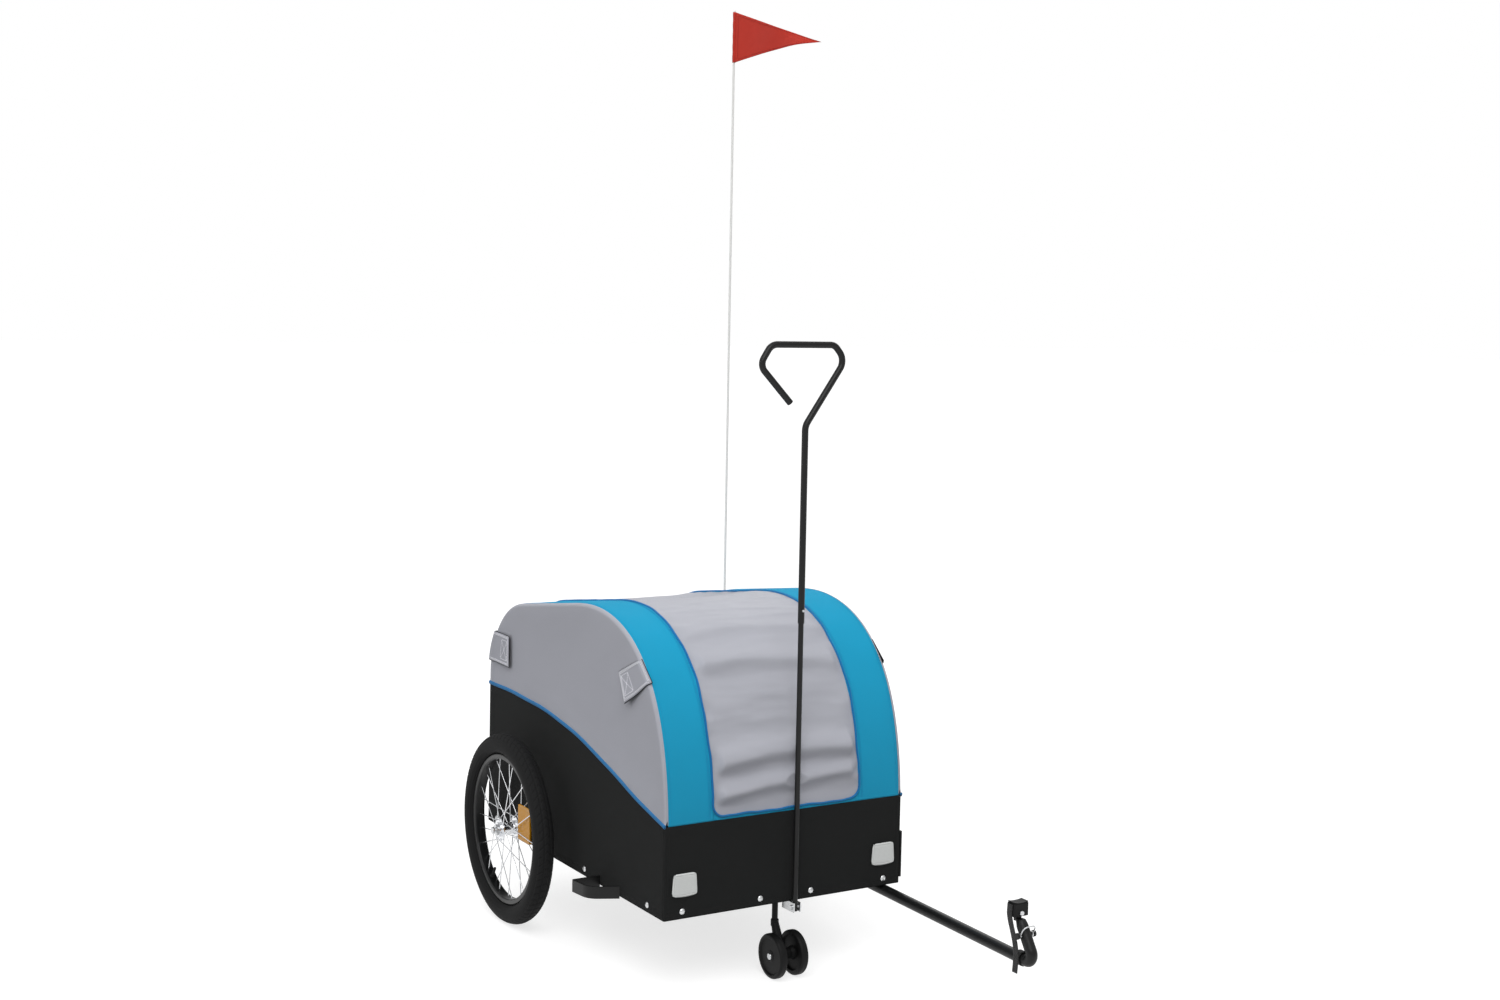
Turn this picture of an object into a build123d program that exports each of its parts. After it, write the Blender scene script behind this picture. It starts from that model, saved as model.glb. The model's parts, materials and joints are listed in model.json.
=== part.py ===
from build123d import *
import math
import os

os.makedirs("parts", exist_ok=True)

# A two-wheeled bicycle trailer with a fabric cargo body, that also serves as a hand wagon.
# Millimetres. +Z up, the front (tow bar, castor, hand bar) towards -Y, the trailer's left
# side towards +X. It is drawn about the wheel axle (y = 0) and moved by ORIGIN_SHIFT_Y,
# which puts the origin at the middle of the bounding box, on the ground.
ORIGIN_SHIFT_Y = 390.42

# Wheels, size 47-305 (16 x 1.75).
WHEEL_R = 200.0
TYRE_R = 23.0
TYRE_WALL = 3.4
RIM_OUT_R = 159.0
RIM_IN_R = 147.0
RIM_HALF = 11.5
WHEEL_X = 336.0
HUB_HALF = 24.0
FLANGE_X = 17.0
FLANGE_R = 24.0
FLANGE_T = 2.4
SPOKE_HOLE_R = 20.5
SPOKES = 28
SPOKE_R = 1.0
BEARING_R = 12.0
BEARING_W = 6.0
AXLE_R = 6.0
RUN_GAP = 0.05
BUTTON_TRAVEL = 3.0

# Body.
BODY_X = 271.0
SKIN = 2.0
FRONT_Y = -570.0
REAR_BASE_Y = 253.0
REAR_TOP_Y = 246.0
BASE_Z = 151.0
FRONT_TOP_Z = 332.0
REAR_TOP_Z = 465.0
SEAM_X = 168.0
HINGE_Y = 141.0
HINGE_Z = 646.0
SAG = 29.0
SAG_FRONT_Y = -300.0
PIPING = 3.5

# The canopy's side profile and the border between the grey and the black side, as (y, z).
CANOPY = [(FRONT_Y, FRONT_TOP_Z), (-547, 485), (-501, 585), (-419, 663), (-260, 706),
          (-110, 690), (38, 669), (HINGE_Y, HINGE_Z), (215, 582), (REAR_TOP_Y, REAR_TOP_Z)]
BORDER = [(FRONT_Y, FRONT_TOP_Z), (-427, 369), (-253, 419), (-114, 447), (34, 461),
          (REAR_TOP_Y, REAR_TOP_Z)]

# Steel frame.
RAIL = 22.0
RAIL_WALL = 1.5
RAIL_Z = 165.0
HOOP_R = 8.0
HOOP_WALL = 1.2
HOOP_INSET = 14.0
FLOOR_T = 5.0
BOLT_R = 5.8

# Castor.
CASTOR_Y = -531.0
CASTOR_TRAIL = 34.0
CASTOR_R = 44.2
CASTOR_HALF = 24.0
CASTOR_W = 17.0
STEM_R = 6.0
COLLAR_Z = 102.0

# Hand bar.
HANDLE_X = 15.0
HANDLE_Y = -580.0
HANDLE_Z = 141.0
HANDLE_FOOT = 8.0
HANDLE_LOW_R = 5.2
HANDLE_UP_R = 6.4
HANDLE_JOIN_Z = 725.0
HANDLE_BEND_Z = 1080.0
GRIP_TOP_Z = 1234.0

# Tow bar.
BAR_X = 240.0
BAR_R = 11.0
BAR_WALL = 2.0
BAR_PIVOT_Y = -420.0
BAR_START_Y = -407.0
BAR_START_Z = 140.5
BRACKET_LOW_Z = 121.0
BAR_BEND_Y = -1037.0
BAR_BEND_Z = 128.0
BAR_BEND_R = 13.0
NECK_LEAN = 33.0
NECK_TUBE = 74.0
COUPLER_S = 100.0
COUPLER_TOP = 18.5
COUPLER_LOW = 6.0
COUPLER_BORE_Z = 12.0
COUPLER_BORE_R = 3.1
TONGUE_R = 6.0

# Flag.
POLE_X = 284.0
POLE_Y = 167.0
POLE_R = 2.5
POLE_TOP_Z = 1972.0
FLAG_HOIST = 112.0
FLAG_TIP_X = 371.0
FLAG_TIP_Y = -49.0


def save(node, shape):
    export_step(shape.moved(Location((0, ORIGIN_SHIFT_Y, 0))), f"parts/{node}.step")


def block(x0, x1, y0, y1, z0, z1):
    middle = ((x0 + x1) / 2, (y0 + y1) / 2, (z0 + z1) / 2)
    return Pos(*middle) * Box(abs(x1 - x0), abs(y1 - y0), abs(z1 - z0))


def rod(start, end, radius):
    start = Vector(*start)
    step = Vector(*end) - start
    return extrude(Plane(start, z_dir=step) * Circle(radius), amount=step.length)


def ring(start, end, radius, bore):
    return rod(start, end, radius) - rod(start, end, bore)


def mirrored(shape):
    return mirror(shape, about=Plane.YZ)


def both_sides(shape):
    return Compound(children=[shape, mirrored(shape)])


def side_plate(outline, x0, x1):
    """A plate from an outline of edges in (y, z), between two x planes."""
    return extrude(Plane.YZ.offset(x0) * make_face(outline), amount=x1 - x0)


def bend_radii(points):
    """The largest tangent arc at each inner corner of a polyline: 0.45 of its shorter run."""
    radii = []
    for before, corner, after in zip(points, points[1:], points[2:]):
        run_in = Vector(*corner) - Vector(*before)
        run_out = Vector(*after) - Vector(*corner)
        turn = math.radians(run_in.get_angle(run_out))
        radii.append(0.45 * min(run_in.length, run_out.length) / math.tan(turn / 2))
    return radii


def bent_tube(points, radii, radius, wall=None):
    path = FilletPolyline(*points, radius=radii)
    start = Plane(path @ 0, z_dir=path % 0)
    section = Circle(radius)
    if wall:
        section -= Circle(radius - wall)
    return sweep(start * section, path)


# ---- canopy curves ----------------------------------------------------------------------

def sag_at(y):
    """How far the middle of the cover hangs below its edges: most towards the back."""
    if y <= SAG_FRONT_Y or y >= HINGE_Y:
        return 0.0
    along = (y - SAG_FRONT_Y) / (HINGE_Y - SAG_FRONT_Y)
    return SAG * math.sin(math.pi * along ** 1.6) ** 2


def canopy_points(inset=0.0, sag=0.0):
    """The profile's points moved inwards by inset and lowered by a share of the sag."""
    curve = Spline(*CANOPY)
    points = []
    for y, z in CANOPY:
        heading = curve.tangent_at(curve.param_at_point((y, z)))
        points.append((y + inset * heading.Y, z - inset * heading.X - sag * sag_at(y)))
    return points


def canopy_outline(outside, inside, sag=0.0):
    outer = Spline(*canopy_points(outside, sag))
    inner = Spline(*canopy_points(inside, sag))
    return outer + Line(outer @ 1, inner @ 1) + inner + Line(inner @ 0, outer @ 0)


def before_hinge(shape):
    return shape & block(-400, 400, FRONT_Y - 50, HINGE_Y - 0.3, 0, 900)


def after_hinge(shape):
    return shape & block(-400, 400, HINGE_Y + 0.3, 400, 0, 900)


# ---- steel frame ------------------------------------------------------------------------

RAIL_X = BODY_X - SKIN - 0.5 - RAIL / 2
RAIL_FRONT = FRONT_Y + SKIN + 0.2
RAIL_REAR = REAR_BASE_Y - SKIN - 1.5
HOOP_X = RAIL_X
RAIL_TOP = RAIL_Z + RAIL / 2


def make_side_rails():
    section = Rectangle(RAIL, RAIL) - Rectangle(RAIL - 2 * RAIL_WALL, RAIL - 2 * RAIL_WALL)
    start = Plane((RAIL_X, RAIL_FRONT, RAIL_Z), z_dir=(0, 1, 0))
    return both_sides(extrude(start * section, amount=RAIL_REAR - RAIL_FRONT))


def make_cross_rails():
    """Three square tubes between the side rails: front, under the axle and rear."""
    section = Rectangle(RAIL, RAIL) - Rectangle(RAIL - 2 * RAIL_WALL, RAIL - 2 * RAIL_WALL)
    half = RAIL_X - RAIL / 2
    rails = []
    for y in (RAIL_FRONT + RAIL / 2, 0, RAIL_REAR - RAIL / 2):
        start = Plane((-half, y, RAIL_Z), z_dir=(1, 0, 0))
        rails.append(extrude(start * section, amount=2 * half))
    return Compound(children=rails)


def hoop_path():
    inner = canopy_points(HOOP_INSET)
    return [(inner[0][0], RAIL_TOP)] + inner + [(inner[-1][0], RAIL_TOP)]


def make_hoop():
    points = [(HOOP_X, y, z) for y, z in hoop_path()]
    return bent_tube(points, bend_radii(points), HOOP_R, HOOP_WALL)


def make_hoop_bars():
    """Round tubes across the hoops: behind the front panel, at the hinge and at the rear."""
    half = HOOP_X - HOOP_R
    inner = canopy_points(HOOP_INSET)
    front_y, front_z = inner[0]
    rear_y, rear_z = inner[-1]
    hinge = inner[-3]
    bars = []
    for y, z in ((front_y, front_z - HOOP_INSET), hinge, (rear_y, rear_z - HOOP_INSET)):
        bars.append(ring((-half, y, z), (half, y, z), HOOP_R, HOOP_R - HOOP_WALL))
    return Compound(children=bars)


def make_axle_receiver():
    """Two cheek plates and a sleeve, welded on a side rail, that hold one stub axle."""
    cheek_half = 28.0
    cheek_t = 3.0
    inner_x = RAIL_X - RAIL / 2
    outer_x = RAIL_X + RAIL / 2
    profile = Pos(0, WHEEL_R) * RectangleRounded(2 * cheek_half, 2 * (WHEEL_R - RAIL_TOP), 8)
    cheek = extrude(Plane.YZ.offset(inner_x) * profile, amount=cheek_t)
    body = cheek + Pos(RAIL - cheek_t, 0, 0) * cheek
    body += rod((inner_x, 0, WHEEL_R), (outer_x, 0, WHEEL_R), 11)
    return body - rod((inner_x - 1, 0, WHEEL_R), (outer_x + 1, 0, WHEEL_R), AXLE_R + 0.02)


def make_stub_axle():
    """A hollow axle with a shoulder inside the hub and a lock ring outside it."""
    end_x = WHEEL_X + HUB_HALF + 4
    axle = rod((RAIL_X - RAIL / 2, 0, WHEEL_R), (end_x, 0, WHEEL_R), AXLE_R)
    shoulder_x = WHEEL_X - HUB_HALF
    axle += rod((BODY_X + 0.5, 0, WHEEL_R), (shoulder_x - 0.4, 0, WHEEL_R), 9)
    axle += rod((WHEEL_X + HUB_HALF + 0.4, 0, WHEEL_R), (end_x, 0, WHEEL_R), 11)
    return axle - rod((WHEEL_X, 0, WHEEL_R), (end_x + 1, 0, WHEEL_R), 4 + RUN_GAP)


def make_release_button():
    end_x = WHEEL_X + HUB_HALF + 4
    head_x = end_x + BUTTON_TRAVEL + 0.6
    button = rod((WHEEL_X + BUTTON_TRAVEL + 1, 0, WHEEL_R), (head_x, 0, WHEEL_R), 4)
    head = rod((head_x, 0, WHEEL_R), (head_x + 4.4, 0, WHEEL_R), 7)
    return button + fillet(head.edges().group_by(Axis.X)[-1], 1.5)


# ---- fabric body ------------------------------------------------------------------------

def make_tub_side():
    """The black lower side: level at the bottom, a wave at the top, a hole for the axle."""
    wave = Spline(*BORDER)
    base = Polyline(BORDER[-1], (REAR_BASE_Y, BASE_Z), (FRONT_Y, BASE_Z), BORDER[0])
    panel = side_plate(wave + base, BODY_X - SKIN, BODY_X)
    return panel - rod((BODY_X - 9, 0, WHEEL_R), (BODY_X + 9, 0, WHEEL_R), 12)


def make_side_panel():
    return side_plate(Spline(*BORDER) + Spline(*CANOPY), BODY_X - SKIN, BODY_X)


def make_tub_front():
    half = BODY_X - SKIN
    return block(-half, half, FRONT_Y, FRONT_Y + SKIN, BASE_Z, FRONT_TOP_Z - 0.3)


def make_tub_rear():
    outline = Polyline((REAR_BASE_Y, BASE_Z), (REAR_TOP_Y, REAR_TOP_Z), (REAR_TOP_Y - SKIN, REAR_TOP_Z),
                       (REAR_BASE_Y - SKIN, BASE_Z), close=True)
    half = BODY_X - SKIN
    return side_plate(outline, -half, half)


def make_floor_board():
    half = RAIL_X - RAIL / 2 - 0.5
    return block(-half, half, RAIL_FRONT + 15, RAIL_REAR - 15, RAIL_TOP, RAIL_TOP + FLOOR_T)


def make_band():
    return before_hinge(side_plate(canopy_outline(0, SKIN), SEAM_X, BODY_X - SKIN))


def make_cover():
    """The grey middle of the canopy, which hangs in a saddle between the two bands."""
    sections = []
    for x, sag in ((-SEAM_X, 0), (0, 1), (SEAM_X, 0)):
        sections.append(Plane.YZ.offset(x) * make_face(canopy_outline(0, SKIN, sag)))
    return before_hinge(loft(sections))


def make_rear_flap():
    """The grey upper back: it hangs from the hinge line, between the side panels."""
    half = BODY_X - SKIN - 0.5
    flap = after_hinge(side_plate(canopy_outline(0, SKIN), -half, half))
    return flap & block(-half, half, 0, 400, REAR_TOP_Z + 0.5, 900)


def make_rear_tab():
    """A strap sewn to the back flap, that goes round the corner onto the side panel."""
    low_z = 517.0
    high_z = 584.0
    front_y = 133.0
    wrap_x = 225.0
    gap = 0.5
    thick = 1.8
    behind = side_plate(canopy_outline(-gap - thick, -gap), wrap_x, BODY_X + gap + thick)
    behind &= block(0, 400, HINGE_Y + 40, 400, low_z, high_z)
    beside = side_plate(canopy_outline(-gap - thick, 130), BODY_X + gap, BODY_X + gap + thick)
    beside &= block(0, 400, front_y, 400, low_z, high_z)
    stitch = side_plate(canopy_outline(-gap, 0), wrap_x, wrap_x + 15)
    stitch &= block(0, 400, HINGE_Y + 40, 400, low_z, high_z)
    return behind + beside + stitch


def make_front_tab():
    """A strap sewn at the band's seam; its free end stands off the side panel."""
    outline = Polyline((-380, 595), (-461, 632), (-503, 595), (-419, 541), close=True)
    return side_plate(outline, BODY_X + 0.2, BODY_X + 2.0)


def make_side_piping():
    low = Spline(*[(y, z - PIPING) for y, z in BORDER])
    high = Spline(*[(y, z + PIPING) for y, z in BORDER])
    outline = low + Line(low @ 1, high @ 1) + high + Line(high @ 0, low @ 0)
    return side_plate(outline, BODY_X, BODY_X + 1.2)


def make_cover_piping():
    """Piping along both seams and across the foot of the cover."""
    width = 4.0
    seam = side_plate(canopy_outline(-1.6, -0.1), SEAM_X + 0.1, SEAM_X + width)
    seam = before_hinge(seam) & block(0, 400, -700, 400, FRONT_TOP_Z + 32, 900)
    foot = side_plate(canopy_outline(-1.9, -0.5), 8 - SEAM_X, SEAM_X - 8)
    foot &= block(-400, 400, -700, -500, FRONT_TOP_Z + 4, FRONT_TOP_Z + 4 + width)
    return Compound(children=[seam, mirrored(seam), foot])


def make_front_reflector():
    """A rounded trapezoid with a domed lower edge, on the front panel."""
    half_top = 25.0
    half_low = 28.0
    top_z = 238.0
    low_z = 200.0
    sagitta = 5.0
    sides = Polyline((-half_low, low_z), (-half_top, top_z), (half_top, top_z), (half_low, low_z))
    foot = ThreePointArc((half_low, low_z), (0, low_z - sagitta), (-half_low, low_z))
    face = make_face(sides + foot)
    face = fillet(face.vertices(), 4.5)
    lens = extrude(Plane((228, FRONT_Y, 0), x_dir=(1, 0, 0), z_dir=(0, -1, 0)) * face, amount=4)
    return fillet(lens.edges().group_by(Axis.Y)[0], 1.2)


def make_bolt(place, outward):
    """A domed bolt head that stands on a panel."""
    seat = Plane(place, z_dir=outward)
    dome = Pos(0, 0, -0.8 * BOLT_R) * Sphere(BOLT_R * 1.3)
    return seat * (dome & Pos(0, 0, BOLT_R) * Box(4 * BOLT_R, 4 * BOLT_R, 2 * BOLT_R))


def make_panel_bolts():
    bolts = []
    for x in (-231, -58, 58, 231):
        bolts.append(make_bolt((x, FRONT_Y, RAIL_Z), (0, -1, 0)))
        bolts.append(make_bolt((x, REAR_BASE_Y, RAIL_Z), (0, 1, 0)))
    for y in (-503, -234, 55, 205):
        bolts.append(make_bolt((BODY_X, y, RAIL_Z), (1, 0, 0)))
        bolts.append(make_bolt((-BODY_X, y, RAIL_Z), (-1, 0, 0)))
    return Compound(children=bolts)


def make_wheel_guard():
    """A flat steel strip that stands out ahead of the wheel and fends off kerbs."""
    thick = 3.0
    height = 24.0
    low_z = 146.0
    path = FilletPolyline((BODY_X, -303), (332, -303), (325, -362), (BODY_X - 8, -392), radius=[4, 34])
    strip = extrude(Plane.XY.offset(low_z) * trace(path, thick), amount=height)
    return strip & block(BODY_X + 0.05, 400, -450, -250, 0, 300)


def make_castor_socket():
    """A sleeve behind the front rail, joined to it by a lug, that holds the castor's stem."""
    low_z = 150.0
    high_z = RAIL_TOP - 0.3
    sleeve = rod((0, CASTOR_Y, low_z), (0, CASTOR_Y, high_z), 10)
    lug = block(-7, 7, RAIL_FRONT + RAIL, CASTOR_Y, RAIL_Z - 8, RAIL_Z + 8)
    return sleeve + lug - rod((0, CASTOR_Y, low_z - 1), (0, CASTOR_Y, high_z + 1), STEM_R + RUN_GAP)


def make_castor_fork():
    """Stem, collar and the arm between the two wheels, in one piece."""
    axle_y = CASTOR_Y - CASTOR_TRAIL
    top_z = RAIL_TOP - 1
    stem = rod((0, CASTOR_Y, COLLAR_Z - 6), (0, CASTOR_Y, top_z), STEM_R)
    collar = rod((0, CASTOR_Y, COLLAR_Z - 10), (0, CASTOR_Y, COLLAR_Z + 4), 8)
    collar = chamfer(collar.edges().group_by(Axis.Z)[-1], 1.5)
    across = (1, 0, 0)
    upper = Plane((0, CASTOR_Y, COLLAR_Z - 2), across, (0, 0, 1)) * RectangleRounded(15, 15, 7)
    middle = Plane((0, CASTOR_Y - 11, COLLAR_Z - 28), across, (0, 0.5, 1)) * RectangleRounded(18, 17, 7)
    lower = Plane((0, axle_y, CASTOR_R - 6), across, (0, 0.6, 1)) * RectangleRounded(18, 20, 8)
    arm = loft([lower, middle, upper], ruled=True)
    boss = rod((-12, axle_y, CASTOR_R), (12, axle_y, CASTOR_R), 11)
    fork = stem + collar + arm + boss
    return fork - rod((-20, axle_y, CASTOR_R), (20, axle_y, CASTOR_R), 4 + RUN_GAP)


def make_castor_wheel():
    """A moulded disc wheel with a rounded tread and a dished outer face."""
    inner_x = CASTOR_HALF - CASTOR_W / 2
    outer_x = CASTOR_HALF + CASTOR_W / 2
    bore = 4 + RUN_GAP
    face = make_face(Polyline((bore, inner_x - 3), (12, inner_x - 3), (14, inner_x + 5), (33, inner_x + 5),
                              (35, inner_x), (CASTOR_R, inner_x), (CASTOR_R, outer_x), (37, outer_x),
                              (34, outer_x - 3), (12, outer_x - 3), (10, outer_x - 2), (bore, outer_x - 2),
                              close=True))
    rim_corners = face.vertices().sort_by(Axis.X)[-2:]
    face = fillet(rim_corners, 5)
    section = Plane((0, CASTOR_Y - CASTOR_TRAIL, CASTOR_R), x_dir=(0, 0, 1), z_dir=(0, 1, 0)) * face
    axis = Axis((0, CASTOR_Y - CASTOR_TRAIL, CASTOR_R), (1, 0, 0))
    return revolve(section, axis)


def make_castor_bolt():
    axle_y = CASTOR_Y - CASTOR_TRAIL
    end_x = CASTOR_HALF + CASTOR_W / 2 - 1.8
    bolt = rod((-end_x, axle_y, CASTOR_R), (end_x, axle_y, CASTOR_R), 4)
    head = rod((end_x, axle_y, CASTOR_R), (end_x + 3, axle_y, CASTOR_R), 6.5)
    head = fillet(head.edges().group_by(Axis.X)[-1], 1.5)
    return bolt + head + mirrored(head)


# ---- wheels -----------------------------------------------------------------------------

def wheel_section(outline):
    """A face drawn as (x from the wheel's plane, radius), stood on the wheel's axis."""
    return Plane((WHEEL_X, 0, WHEEL_R), x_dir=(1, 0, 0), z_dir=(0, -1, 0)) * outline


def wheel_turn(outline):
    return revolve(wheel_section(outline), Axis((WHEEL_X, 0, WHEEL_R), (1, 0, 0)))


def make_tyre():
    tube_r = WHEEL_R - TYRE_R
    section = Pos(0, tube_r) * (Circle(TYRE_R) - Circle(TYRE_R - TYRE_WALL))
    section -= Pos(0, RIM_OUT_R / 2 + 0.1) * Rectangle(80, RIM_OUT_R)
    return wheel_turn(section)


def make_rim():
    """A box-section rim with a well for the tyre."""
    outer = Pos(0, (RIM_OUT_R + RIM_IN_R) / 2) * RectangleRounded(2 * RIM_HALF, RIM_OUT_R - RIM_IN_R, 3.5)
    well = Pos(0, RIM_OUT_R) * Rectangle(2 * RIM_HALF - 8, 8)
    hollow = Pos(0, RIM_IN_R + 4) * Rectangle(2 * RIM_HALF - 10, 3)
    return wheel_turn(outer - well - hollow)


def make_hub():
    barrel = Pos(0, 7.5) * Rectangle(2 * HUB_HALF, 15)
    flange = Pos(0, FLANGE_R / 2) * Rectangle(FLANGE_T, FLANGE_R)
    waist = Pos(0, 20) * Rectangle(2 * FLANGE_X - 14, 14)
    section = barrel + Pos(FLANGE_X) * flange + Pos(-FLANGE_X) * flange - waist
    bore = Pos(0, 4.5) * Rectangle(2 * HUB_HALF + 2, 9)
    pocket = Pos(0, BEARING_R / 2) * Rectangle(BEARING_W + 0.5, BEARING_R)
    pocket_x = HUB_HALF - BEARING_W / 2 - 0.25
    section = section - bore - Pos(pocket_x) * pocket - Pos(-pocket_x) * pocket
    return wheel_turn(section)


def make_bearings():
    place_x = HUB_HALF - BEARING_W / 2 - 0.5
    bearings = []
    for x in (WHEEL_X - place_x, WHEEL_X + place_x):
        bearings.append(ring((x - BEARING_W / 2, 0, WHEEL_R), (x + BEARING_W / 2, 0, WHEEL_R),
                             BEARING_R, AXLE_R + RUN_GAP))
    return Compound(children=bearings)


def make_spokes():
    """Spokes laced over the hub's two flanges, leading and trailing in turn."""
    spokes = []
    lead = math.radians(62)
    for i in range(SPOKES):
        side = 1 if i % 2 == 0 else -1
        lean = 1 if (i // 2) % 2 == 0 else -1
        rim_angle = 2 * math.pi * i / SPOKES
        hub_angle = rim_angle + lean * lead
        clear = FLANGE_T / 2 + SPOKE_R + 0.1
        if lean > 0:
            clear += 1.6
        flange_x = WHEEL_X + side * (FLANGE_X + lean * clear)
        inner = (flange_x, SPOKE_HOLE_R * math.cos(hub_angle), WHEEL_R + SPOKE_HOLE_R * math.sin(hub_angle))
        reach = RIM_IN_R - 0.3
        outer = (WHEEL_X + side * 3, reach * math.cos(rim_angle), WHEEL_R + reach * math.sin(rim_angle))
        spokes.append(rod(inner, outer, SPOKE_R))
    return Compound(children=spokes)


def make_valve():
    """The tyre's valve stands inwards from the rim, towards the lower rear."""
    angle = math.radians(-58)
    heading = Vector(0, math.cos(angle), math.sin(angle))
    centre = Vector(WHEEL_X, 0, WHEEL_R)
    base = centre + heading * (RIM_IN_R - 0.2)
    tip = centre + heading * (RIM_IN_R - 26)
    nut = centre + heading * (RIM_IN_R - 4)
    return rod(tip, base, 2.9) + rod(nut, base, 5)


def make_wheel_reflector():
    """An amber reflector clipped between the spokes, ahead of the hub."""
    half_y = 29.0
    half_z = 38.0
    thick = 6.4
    face = RectangleRounded(2 * half_y, 2 * half_z, 9)
    seat = Plane((WHEEL_X - thick / 2, -87, 230), x_dir=(0, 1, 0), z_dir=(1, 0, 0))
    plate = extrude(seat * face, amount=thick)
    return fillet(plate.edges().group_by(Axis.X)[-1], 1.5)


# ---- hand bar ---------------------------------------------------------------------------

def make_handle_bracket():
    """A bent steel U under the front rail; its ears hold the hand bar's pivot bolt."""
    ear_x = HANDLE_LOW_R + 1.0
    thick = 2.0
    base_z = RAIL_Z - RAIL / 2
    front_y = HANDLE_Y - 9
    back_y = RAIL_FRONT + RAIL
    web = block(-ear_x - thick, ear_x + thick, FRONT_Y - 1.5, back_y, BASE_Z - thick, BASE_Z - 0.1)
    web += block(-ear_x - thick, ear_x + thick, RAIL_FRONT, back_y, BASE_Z - 0.1, base_z)
    ears = block(-ear_x - thick, -ear_x, front_y, back_y, HANDLE_Z - 9, BASE_Z - 0.1)
    ears += block(ear_x, ear_x + thick, front_y, back_y, HANDLE_Z - 9, BASE_Z - 0.1)
    bracket = Pos(HANDLE_X, 0, 0) * (web + ears)
    return bracket - rod((HANDLE_X - 20, HANDLE_Y, HANDLE_Z), (HANDLE_X + 20, HANDLE_Y, HANDLE_Z), 3.02)


def make_handle_bolt():
    half = HANDLE_LOW_R + 3.0
    shank = rod((HANDLE_X - half, HANDLE_Y, HANDLE_Z), (HANDLE_X + half, HANDLE_Y, HANDLE_Z), 3)
    head = rod((HANDLE_X - half - 3, HANDLE_Y, HANDLE_Z), (HANDLE_X - half, HANDLE_Y, HANDLE_Z), 4.5)
    seat = Plane((HANDLE_X + half, HANDLE_Y, HANDLE_Z), z_dir=(1, 0, 0))
    nut = extrude(seat * RegularPolygon(5.2, 6), amount=4)
    return shank + head + nut


def make_handle_lower():
    foot_z = HANDLE_Z - HANDLE_FOOT
    bar = rod((HANDLE_X, HANDLE_Y, foot_z), (HANDLE_X, HANDLE_Y, HANDLE_JOIN_Z + 35), HANDLE_LOW_R)
    bar -= rod((HANDLE_X - 9, HANDLE_Y, HANDLE_Z), (HANDLE_X + 9, HANDLE_Y, HANDLE_Z), 3 + RUN_GAP)
    button_tip = (HANDLE_X, HANDLE_Y - 9, HANDLE_JOIN_Z)
    button = rod((HANDLE_X, HANDLE_Y, HANDLE_JOIN_Z), button_tip, 2.4 + RUN_GAP)
    return bar - button


def make_handle_upper():
    """A tube over the lower bar that ends in an open triangular grip."""
    start_z = HANDLE_JOIN_Z - 25
    points = [(HANDLE_X, start_z), (HANDLE_X, HANDLE_BEND_Z), (103, 1205), (78, GRIP_TOP_Z),
              (-64, GRIP_TOP_Z), (-89, 1195), (-20, 1124)]
    route = [(x, HANDLE_Y, z) for x, z in points]
    bar = bent_tube(route, [30, 26, 20, 24, 20], HANDLE_UP_R)
    bore_top = HANDLE_JOIN_Z + 40
    bar -= rod((HANDLE_X, HANDLE_Y, start_z - 1), (HANDLE_X, HANDLE_Y, bore_top), HANDLE_LOW_R + RUN_GAP)
    button_seat = (HANDLE_X, HANDLE_Y, HANDLE_JOIN_Z)
    return bar - rod(button_seat, (HANDLE_X, HANDLE_Y - 9, HANDLE_JOIN_Z), 2.4 + RUN_GAP)


def make_handle_button():
    tip_y = HANDLE_Y - HANDLE_UP_R - 2.2
    pin = rod((HANDLE_X, HANDLE_Y - 2.9, HANDLE_JOIN_Z), (HANDLE_X, tip_y, HANDLE_JOIN_Z), 2.4)
    return fillet(pin.edges().group_by(Axis.Y)[0], 0.9)


# ---- tow bar ----------------------------------------------------------------------------

LEAN = math.radians(NECK_LEAN)


def on_neck(along, across=0.0, x=BAR_X):
    """A point at a distance up the leaning neck from the tow bar's bend, and behind its line."""
    y = BAR_BEND_Y + along * math.sin(LEAN) + across * math.cos(LEAN)
    z = BAR_BEND_Z + along * math.cos(LEAN) - across * math.sin(LEAN)
    return (x, y, z)


def make_drawbar():
    start = (BAR_X, BAR_START_Y, BAR_START_Z)
    corner = (BAR_X, BAR_BEND_Y, BAR_BEND_Z)
    bar = bent_tube([start, corner, on_neck(NECK_TUBE)], [BAR_BEND_R], BAR_R, BAR_WALL)
    pin_low = (BAR_X, BAR_PIVOT_Y, 100)
    pin_high = (BAR_X, BAR_PIVOT_Y, 180)
    bar -= rod(pin_low, pin_high, 4 + RUN_GAP)
    lock = NECK_TUBE - 18
    return bar - rod(on_neck(lock, x=BAR_X - 30), on_neck(lock, x=BAR_X + 30), 3.02)


def make_drawbar_bracket():
    """A hanger under the left rail: a top plate, a tongue under the bar and a web behind it."""
    top_z = RAIL_Z - RAIL / 2
    low_z = BRACKET_LOW_Z
    low_y = BAR_PIVOT_Y - 16
    high_y = BAR_PIVOT_Y + 26
    inner_x = BAR_X - BAR_R - 8
    plate = block(inner_x, RAIL_X + 8, low_y, high_y, top_z - 1.8, top_z)
    tongue = block(inner_x, BAR_X + 12, low_y, high_y, low_z, low_z + 4)
    web = block(inner_x, BAR_X + 12, high_y - 4, high_y, low_z, top_z)
    hanger = plate + tongue + web
    return hanger - rod((BAR_X, BAR_PIVOT_Y, 100), (BAR_X, BAR_PIVOT_Y, 180), 4.02)


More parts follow.
